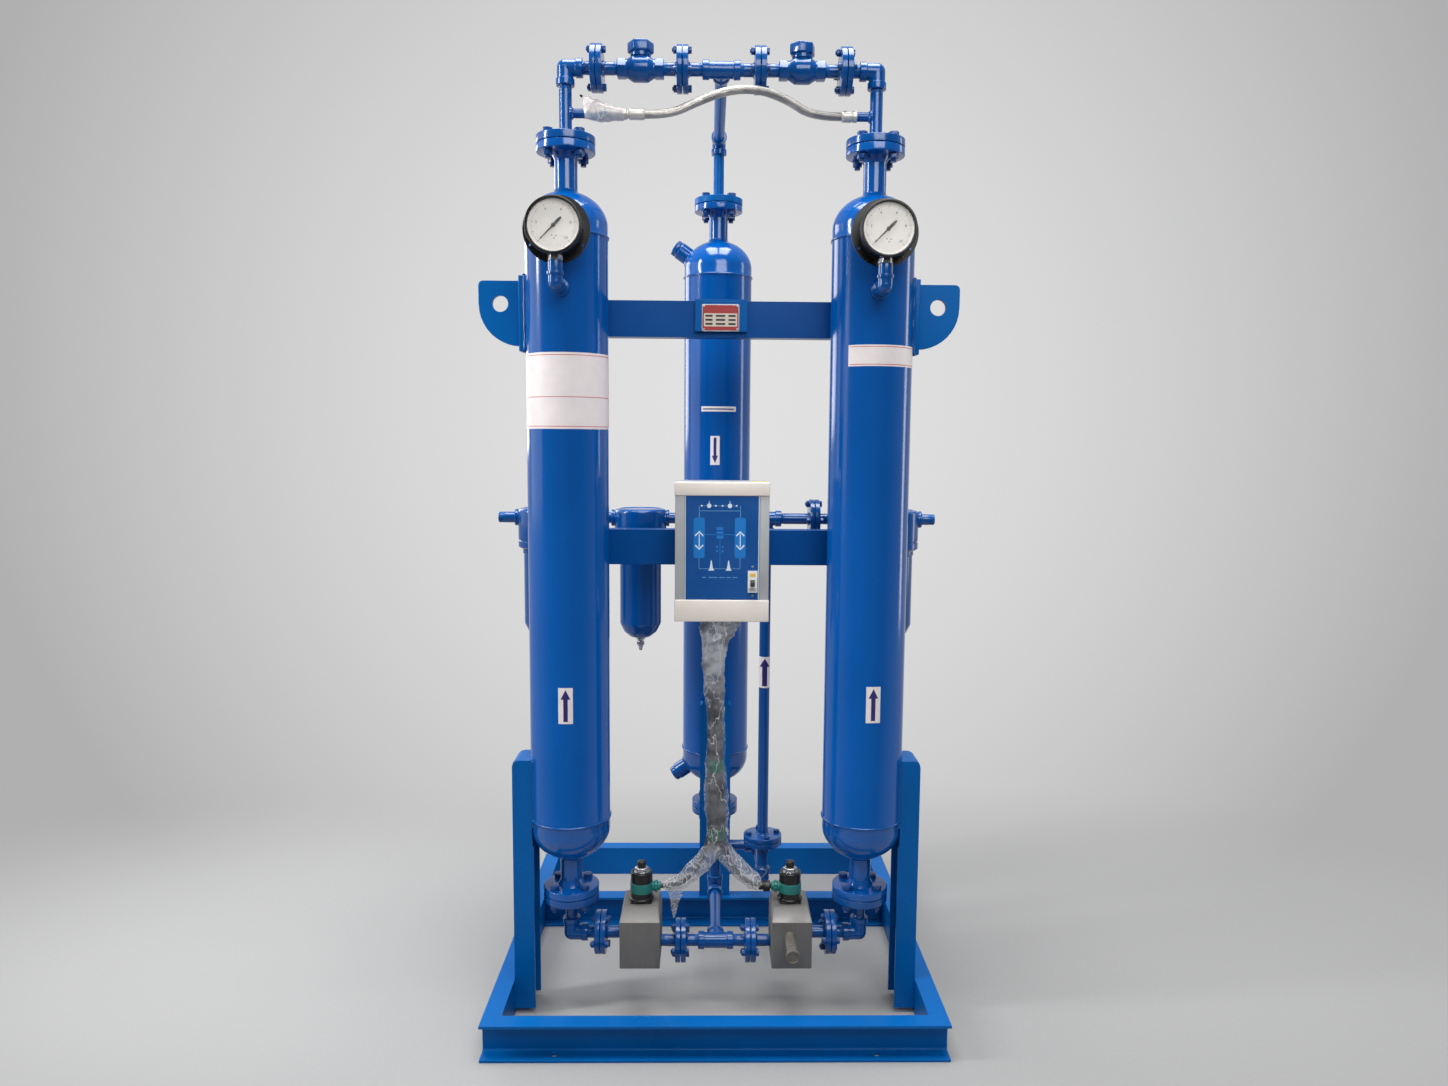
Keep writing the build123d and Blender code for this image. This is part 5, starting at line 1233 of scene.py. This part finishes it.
border = 1.5
left_place, right_place, vessel_place = (-tower_x, tower_y), (tower_x, tower_y), (0, vessel_y)
left_label = (left_place, vessel_radius, radians(7.9))
right_label = (right_place, vessel_radius, radians(-9))
vessel_label = (vessel_place, vessel_radius, radians(2.2))
strip(*left_label, -158, 158, 1634, 1831)
for low in (1640, 1823.5, 1716):
    strip(*left_label, -150, 150, low, low + border, 0.4, 2)
for start in (-150, 150 - border):
    strip(*left_label, start, start + border, 1640, 1825, 0.4, 2)
strip(*right_label, -61, 170, 1802, 1857)
for low in (1806, 1851.5):
    strip(*right_label, -57, 166, low, low + border, 0.4, 2)
arrow_label(left_place, vessel_radius, radians(1.3), 39, 850, 948, 1)
arrow_label(right_place, vessel_radius, radians(4.9), 39, 855, 954, 1)
arrow_label(vessel_place, vessel_radius, radians(-3.8), 30, 1529, 1622, -1)
strip(*vessel_label, -58, 58, 1700, 1716.5)
strip(*vessel_label, -52, 52, 1706.5, 1710, 0.4, 1)
arrow_label((riser_x, line_y), pipe_radius, 0, 52, 844, 942, 1)
piece("labels", [label_white, label_navy, label_red], "element_white", sharp=60)


# clear packing film
def film(name, colour, shaded, low, high, milky=None):
    """Thin crumpled plastic, mostly clear, with pale creases that are painted highlights; a milky one is
    cloudy above the two heights given, and hazy and swirled with more painted highlights where it forks."""
    material, tree, places = new_material(name)
    place = places["Object"]
    crumple = noise(tree, place, 20, 3, (1, 1, 0.55))
    fold = calc(tree, "ABSOLUTE", calc(tree, "SUBTRACT", crumple, 0.5))
    crease_highlight = ranged(tree, fold, 1, 0, 0.001, 0.014)
    fine = noise(tree, place, 46, 2, (1, 1, 0.4))
    fold = calc(tree, "ABSOLUTE", calc(tree, "SUBTRACT", fine, 0.5))
    patch = ranged(tree, noise(tree, place, 13, 2), 0.15, 1, 0.45, 0.58)
    fine = calc(tree, "MULTIPLY", ranged(tree, fold, 0.85, 0, 0.001, 0.024), patch)
    crease_highlight = calc(tree, "MAXIMUM", crease_highlight, fine)
    cover = ranged(tree, noise(tree, place, 22), low, high)
    if milky:
        height = add(tree, "SeparateXYZ", {0: place}).outputs["Z"]
        cloud = ranged(tree, height, 0, 0.8, *milky)
        cover = calc(tree, "MAXIMUM", cover, cloud)
        foot = ranged(tree, height, 0, 1, 0.5, 0.44)
        haze = calc(tree, "MULTIPLY", foot, 0.36)
        cover = calc(tree, "MAXIMUM", cover, haze)
        swirl = calc(tree, "MULTIPLY", noise(tree, place, 11, 1.5), 130)
        swirl = ranged(tree, calc(tree, "SINE", swirl), 0, 0.75, 0.55, 0.95)
        swirl = calc(tree, "MULTIPLY", swirl, foot)
        crease_highlight = calc(tree, "MAXIMUM", crease_highlight, swirl)
    lines = calc(tree, "MULTIPLY", crease_highlight, 0.8)
    alpha = calc(tree, "MAXIMUM", cover, lines)
    tint = ranged(tree, noise(tree, place, 34, 2, (0.6, 1, 1)), 0, 1, 0.42, 0.62)
    shade = mix(tree, tint, colour, shaded)
    # creases and swirls mixed towards near white: painted highlights along the folds
    shade = mix(tree, crease_highlight, shade, srgb(236, 237, 240))
    bump = add(tree, "Bump", {"Strength": 0.8, "Distance": 0.003, "Height": crumple}).outputs["Normal"]
    gloss = ranged(tree, crumple, 0.1, 0.3)
    close_material(tree, Base_Color=shade, Roughness=gloss, Alpha=alpha, Normal=bump)
    return material


sleeve_film = film("sleeve_film", srgb(200, 203, 207), srgb(128, 132, 138), 0.08, 0.4, (0.84, 0.98))
bag_film = film("bag_film", srgb(228, 216, 214), srgb(158, 172, 188), 0.5, 0.95)


def film_tube(rows, wrinkle, seed, segments=44, step_length=6):
    """A wrinkled film sleeve; rows are (x, y, z, half width, half depth)."""
    shift = Vector((seed * 31.7, seed * 12.3, seed * 7.1))
    rings = []
    for index, (start, end) in enumerate(zip(rows, rows[1:])):
        before = Vector(rows[max(index - 1, 0)][:3])
        a, b = Vector(start[:3]), Vector(end[:3])
        after = Vector(rows[min(index + 2, len(rows) - 1)][:3])
        count = max(2, int((b - a).length / step_length))
        last = index == len(rows) - 2
        for step in range(count + (1 if last else 0)):
            share = step / count
            ease = share * share * (3 - 2 * share)
            way_in, way_out = (b - before) / 2, (after - a) / 2
            spot = a * (1 - ease) + b * ease if len(rows) < 3 else (
                a * (2 * share**3 - 3 * share**2 + 1) + way_in * (share**3 - 2 * share**2 + share)
                + b * (3 * share**2 - 2 * share**3) + way_out * (share**3 - share**2)
            )
            way = (way_in * (1 - share) + way_out * share).normalized()
            across = Y.cross(way).normalized()
            half_width = start[3] * (1 - ease) + end[3] * ease
            half_depth = start[4] * (1 - ease) + end[4] * ease
            spots = []
            for turn in turns(segments):
                out = across * cos(turn) * half_width + Y * sin(turn) * half_depth
                slow, fast = (solid_noise.noise((spot + out) * scale + shift) for scale in (0.035, 0.09))
                rough = slow * 0.6 + abs(fast) * 0.8
                spots.append(spot + out * (1 + wrinkle * rough))
            rings.append(ring(spots))
    skin(rings, caps=False)


trunk = (
    (3, -304, 1112, 60, 26), (2, -302, 1088, 50, 24), (-9, -300, 1030, 33, 20), (-9, -298, 940, 28, 17),
    (-2, -297, 797, 24, 15), (-4, -297, 710, 27, 16), (0, -297, 594, 34, 18), (3, -298, 520, 29, 17),
    (4, -299, 450, 30, 18),
)
left_branch = (
    (0, -299, 466, 25, 17), (-24, -300, 430, 26, 17), (-58, -304, 394, 26, 16), (-98, -311, 362, 22, 15),
    (-146, -318, 348, 12, 12),
)
right_branch = (
    (6, -299, 466, 25, 17), (34, -301, 430, 26, 17), (70, -306, 394, 26, 17), (102, -314, 366, 24, 17),
    (122, -318, 350, 14, 13),
)
film_tube(trunk, 0.22, 1)
film_tube(left_branch, 0.22, 2, 32)
film_tube(right_branch, 0.22, 3, 32)
flap = (
    (-116, -318, 350, 14, 3), (-116, -322, 330, 19, 3), (-117, -324, 296, 10, 3), (-119, -324, 258, 2, 1.5),
)
film_tube(flap, 0.3, 9, 24, 3)
piece("cable_film", sleeve_film, "case_grey", sharp=180)

wrap = (
    (-8, -298, 930, 15, 10), (-6, -297, 860, 19, 12), (-4, -297, 710, 21, 12), (0, -297, 594, 24, 12),
    (3, -298, 500, 23, 12), (4, -299, 446, 22, 11),
)
film_tube(wrap, 0.18, 8, 36)
piece("cable_wrap", cable, "cable_grey", sharp=180)

bag = (
    (-363, -324, 2498, 2.5, 2.5), (-352, -325, 2487, 13, 7), (-339, -326, 2468, 27, 15),
    (-318, -324, 2461, 25, 18), (-296, -321, 2459, 21, 18), (-274, -320, 2457, 17, 16.5),
    (-256, -320, 2457, 15, 15),
)
film_tube(bag, 0.16, 4, 36, 3)
lathe(at((-363, -324, 2498), (-1, 0, 0.7)), [(2.8, 0), (3.2, 4, 2), (2, 8, 1)], 12, 1)
piece("purge_film_bag", [bag_film, rubber], "element_white", sharp=180)

green_tape = surface(
    "green_tape", srgb(40, 112, 92), 0.45, tone=0.15, tone_scale=40, grain=0.5, grain_scale=150,
)
film_tube(((-4, -297, 712, 23, 14), (-3, -297, 676, 24, 14)), 0.12, 5, 32)
film_tube(((1, -298, 512, 25, 14), (3, -298, 478, 25, 14)), 0.12, 6, 32)
piece("green_tape_bands", green_tape, "green_plastic", sharp=180)

hexagon(at((154, -318, 350), -X), 27, 0, 20, 2)
lathe(at((134, -318, 350), -X), [(11, 0), (11, 12, 3), (8, 14, 1)], 32)
piece("right_plug_nut", black, "black_plastic")

wire = [(122, -330, 372), (138, -336, 392), (144, -338, 400), (138, -337, 406), (126, -336, 408)]
tube(wire, 0.9, 10)
piece("tie_wire", bright, "bright_metal")


# side legs
leg_half = 50
leg_flange = 7.5
leg_tip_x = 505.5
leg_coped_x = 509.2
leg_web_x = 562.4
leg_web = 5
leg_low, leg_high = 15, 730
leg_cope_z = 484
leg_corner = 22
cap_edge_x = 526
cap_plate = 8
cap_low = leg_high - cap_plate
inner_half = leg_half - leg_flange
leg_shape = soften([
    (leg_tip_x, leg_low), (leg_web_x, leg_low), (leg_web_x, leg_high, leg_corner), (leg_coped_x, leg_high),
    (leg_coped_x, leg_cope_z), (leg_tip_x, leg_cope_z),
], closed=True, steps=8)
web_shape = soften([
    (leg_web_x - leg_web, leg_low), (leg_web_x, leg_low), (leg_web_x, leg_high, leg_corner),
    (cap_edge_x, leg_high), (cap_edge_x, cap_low), (leg_web_x - leg_web, cap_low, leg_corner - cap_plate),
], closed=True, steps=8)
cope_steps = [inner_half - 2 * inner_half * step / 12 for step in range(13)]
cope_arc = [(tower_x + sqrt((vessel_radius + 0.3) ** 2 - across**2), across) for across in cope_steps]
cap_shape = [(cap_edge_x, -inner_half), (cap_edge_x, inner_half)] + cope_arc


def on_side(outline, side):
    """An outline, mirrored for the left side."""
    return outline if side > 0 else [(-x, other) for x, other in reversed(outline)]


for side in SIDES:
    flat = at((0, tower_y, 0), -Y, X)
    prism(flat, on_side(leg_shape, side), inner_half, leg_half)
    prism(flat, on_side(leg_shape, side), -leg_half, -inner_half)
    prism(flat, on_side(web_shape, side), -inner_half, inner_half)
    prism(at((0, tower_y, 0)), on_side(cap_shape, side), cap_low, leg_high)
painted("leg_channels", "side_legs", frame_paint)


# weld beads
def bead(start, end, radius, seed):
    """A rippled weld bead between two points."""
    start, end = Vector(start), Vector(end)
    count = max(3, int((end - start).length / 2.6))
    points = [start.lerp(end, step / count) for step in range(count + 1)]
    ripples = [0.22 * abs(sin(k * 1.3 + seed)) + 0.1 * sin(k * 0.31 + seed) for k in range(count + 1)]
    tube(points, [radius * (0.86 + ripple) for ripple in ripples], 10)


def ring_bead(centre, reach, height, radius, seed):
    """A rippled weld bead round a shell."""
    rings = []
    for step, turn in enumerate(turns(260)):
        out = Vector((cos(turn), sin(turn), 0))
        size = radius * (0.86 + 0.16 * abs(sin(step * 1.3 + seed)) + 0.08 * sin(turn * 9 + seed))
        middle = Vector((*centre, height)) + out * reach
        spots = [middle + (out * cos(t) + Z * sin(t) * 1.2) * size for t in turns(8)]
        rings.append(ring(spots))
    skin(rings, closed=True, caps=False)


beads = [((leg_tip_x, y, 538), (leg_tip_x, y, 728), 3.4, y) for y in (-370.5, -269.5)]
beads += [((pad_root_x, y, 1841), (pad_root_x, y, 2035), 5.6, y) for y in (-345.6, -294.4)]
beads += [((518, -343, z), (518, -297, z), 3.5, z) for z in (1838.5, 2037.5)]
beads += [((x, -210.6, z - 46), (x, -210.6, z + 46), 3, x) for z in (1304, 1943) for x in (396, 420)]
for side in SIDES:
    for start, end, radius, seed in beads:
        bead((side * start[0], *start[1:]), (side * end[0], *end[1:]), radius, seed)
for centre, ends in ((left_place, tower_shell), (right_place, tower_shell), (vessel_place, vessel_shell)):
    for height in ends:
        ring_bead(centre, vessel_radius + 0.6, height, 3.2, height)
piece("weld_beads", paint, "blue_paint", sharp=80)


# finishes of the CAD nodes that stay
finish_of_slot = dict(
    dial_white=dial_white, clear_glass=clear, pointer_black=needle, case_grey=case_grey, case_cream=cream,
    panel_blue=panel_blue, breaker_white=breaker_white, blue_paint=frame_paint, bare_steel=bare_steel,
    desiccant=desiccant, bright_metal=bright, block_steel=block_steel, silencer_grey=silencer_grey,
    black_plastic=black, green_plastic=green, element_white=white, gasket_rubber=rubber, cable_grey=cable,
    hose_braid=steel_braid,
)


def finish_cad_nodes():
    """Give the CAD nodes that stay the finishes of their slots."""
    for node_name, node in nodes.items():
        for material_slot in node.material_slots:
            name = material_slot.material.name.split(".")[0] if material_slot.material else ""
            # the tie bars take the darker copy of the blue paint: painted shade
            if node_name == "tie_bars":
                material_slot.material = shaded_bar_paint
            elif name in finish_of_slot:
                material_slot.material = finish_of_slot[name]


finish_cad_nodes()


# floor, backdrop and light
floor_half = 60
floor_grey = srgb(158, 158, 158)
# backdrop greys: a painted pool of light, pale ahead and darker round it
backdrop_edge = srgb(176, 176, 177)
backdrop_light_pool = srgb(225, 225, 225)
backdrop_behind = srgb(84, 84, 86)
pool_way = Vector((0.017, 0.999, 0.040))
sky_tint = srgb(240, 241, 243)
sky_strength = 0.22


def backdrop(tree, way):
    """The backdrop's grey along a direction: a painted pool of light, palest behind the dryer, falling to
    grey at the sides and dark grey behind the camera.
    """
    aim = vector(tree, "DOT_PRODUCT", way, pool_way)["Value"]
    far = mix(tree, ranged(tree, aim, 0, 1, -0.5, 0.4), backdrop_behind, backdrop_edge)
    return mix(tree, ranged(tree, aim, 0, 1, 0.8, 1), far, backdrop_light_pool)


def seen_ray(tree):
    """1 for camera, glossy and transmission rays."""
    path = add(tree, "LightPath").outputs
    seen = calc(tree, "MAXIMUM", path["Is Camera Ray"], path["Is Glossy Ray"])
    return calc(tree, "MAXIMUM", seen, path["Is Transmission Ray"])


def make_floor():
    """A floor that keeps the dryer's shadow and fades into the backdrop: away from the dryer it glows with
    the backdrop's painted greys for seen rays.
    """
    material = surface(
        "floor_sweep", floor_grey, 0.8, tone=0.03, tone_scale=0.6, grain=0.02, grain_scale=90,
    )
    tree = material.node_tree
    output = next(made for made in tree.nodes if made.type == "OUTPUT_MATERIAL")
    near = output.inputs["Surface"].links[0].from_socket
    spot = add(tree, "NewGeometry").outputs["Position"]
    away = vector(tree, "SUBTRACT", spot, camera_place * MM)[0]
    away = vector(tree, "NORMALIZE", away)[0]
    # far floor: an emission of the backdrop's painted greys, a glow and no lamp
    far = add(tree, "Emission", {"Color": backdrop(tree, away), "Strength": 1})
    flat = vector(tree, "MULTIPLY", spot, (0.42, 1, 0))[0]
    reach = vector(tree, "LENGTH", flat)["Value"]
    fade = ranged(tree, reach, 0, 1, 0.6, 1.7, interpolation_type="SMOOTHSTEP")
    factor = calc(tree, "MULTIPLY", fade, seen_ray(tree))
    blend = add(tree, "MixShader", {0: factor, 1: near, 2: far.outputs[0]})
    tree.links.new(blend.outputs[0], output.inputs["Surface"])
    mesh.faces.new(ring((x * floor_half, y * floor_half, 0) for x, y in ((-1, -1), (1, -1), (1, 1), (-1, 1))))
    data = drawn("floor")
    data.materials.append(material)
    placed("floor", data)


def make_world():
    """The backdrop for rays that are seen and a plain sky for the light."""
    world = bpy.data.worlds.new("studio")
    bpy.context.scene.world = world
    tree = blank_tree(world)
    way = add(tree, "TexCoord").outputs["Generated"]
    seen = seen_ray(tree)
    colour = mix(tree, seen, sky_tint, backdrop(tree, way))
    strength = ranged(tree, seen, sky_strength, 1, 0, 1)
    background = add(tree, "Background", {"Color": colour, "Strength": strength})
    add(tree, "OutputWorld", {"Surface": background.outputs[0]})


def softbox(name, place, target, width, height, power):
    """A rectangular lamp that faces a target and isn't seen itself."""
    data = bpy.data.lights.new(name, "AREA")
    data.shape = "RECTANGLE"
    data.size = width
    data.size_y = height
    data.energy = power
    lamp = placed(name, data)
    lamp.location = place
    lamp.rotation_euler = (Vector(target) - Vector(place)).to_track_quat("-Z", "Y").to_euler()
    lamp.visible_camera = False


make_floor()
make_world()
softbox("left_strip", (-3, -0.92, 2.85), (0.2, -0.3, 1.6), 0.32, 1.95, 64)
softbox("left_window", (-3.2, -0.2, 2.2), (0, -0.3, 1.5), 2.6, 2.2, 15)
softbox("front_softbox", (0.7, -3.4, 3.6), (0, 0, 1.4), 2.4, 1.6, 72)
softbox("right_softbox", (3.2, 0.45, 2), (0, 0, 1.4), 0.5, 2.6, 16)
softbox("top_softbox", (0, -0.4, 6), (0, 0, 1), 3.6, 3, 370)
softbox("back_softbox", (-2.8, 2.6, 2.4), (0, 0, 1.2), 1.6, 2, 45)
bpy.context.scene.view_settings.view_transform = "Standard"
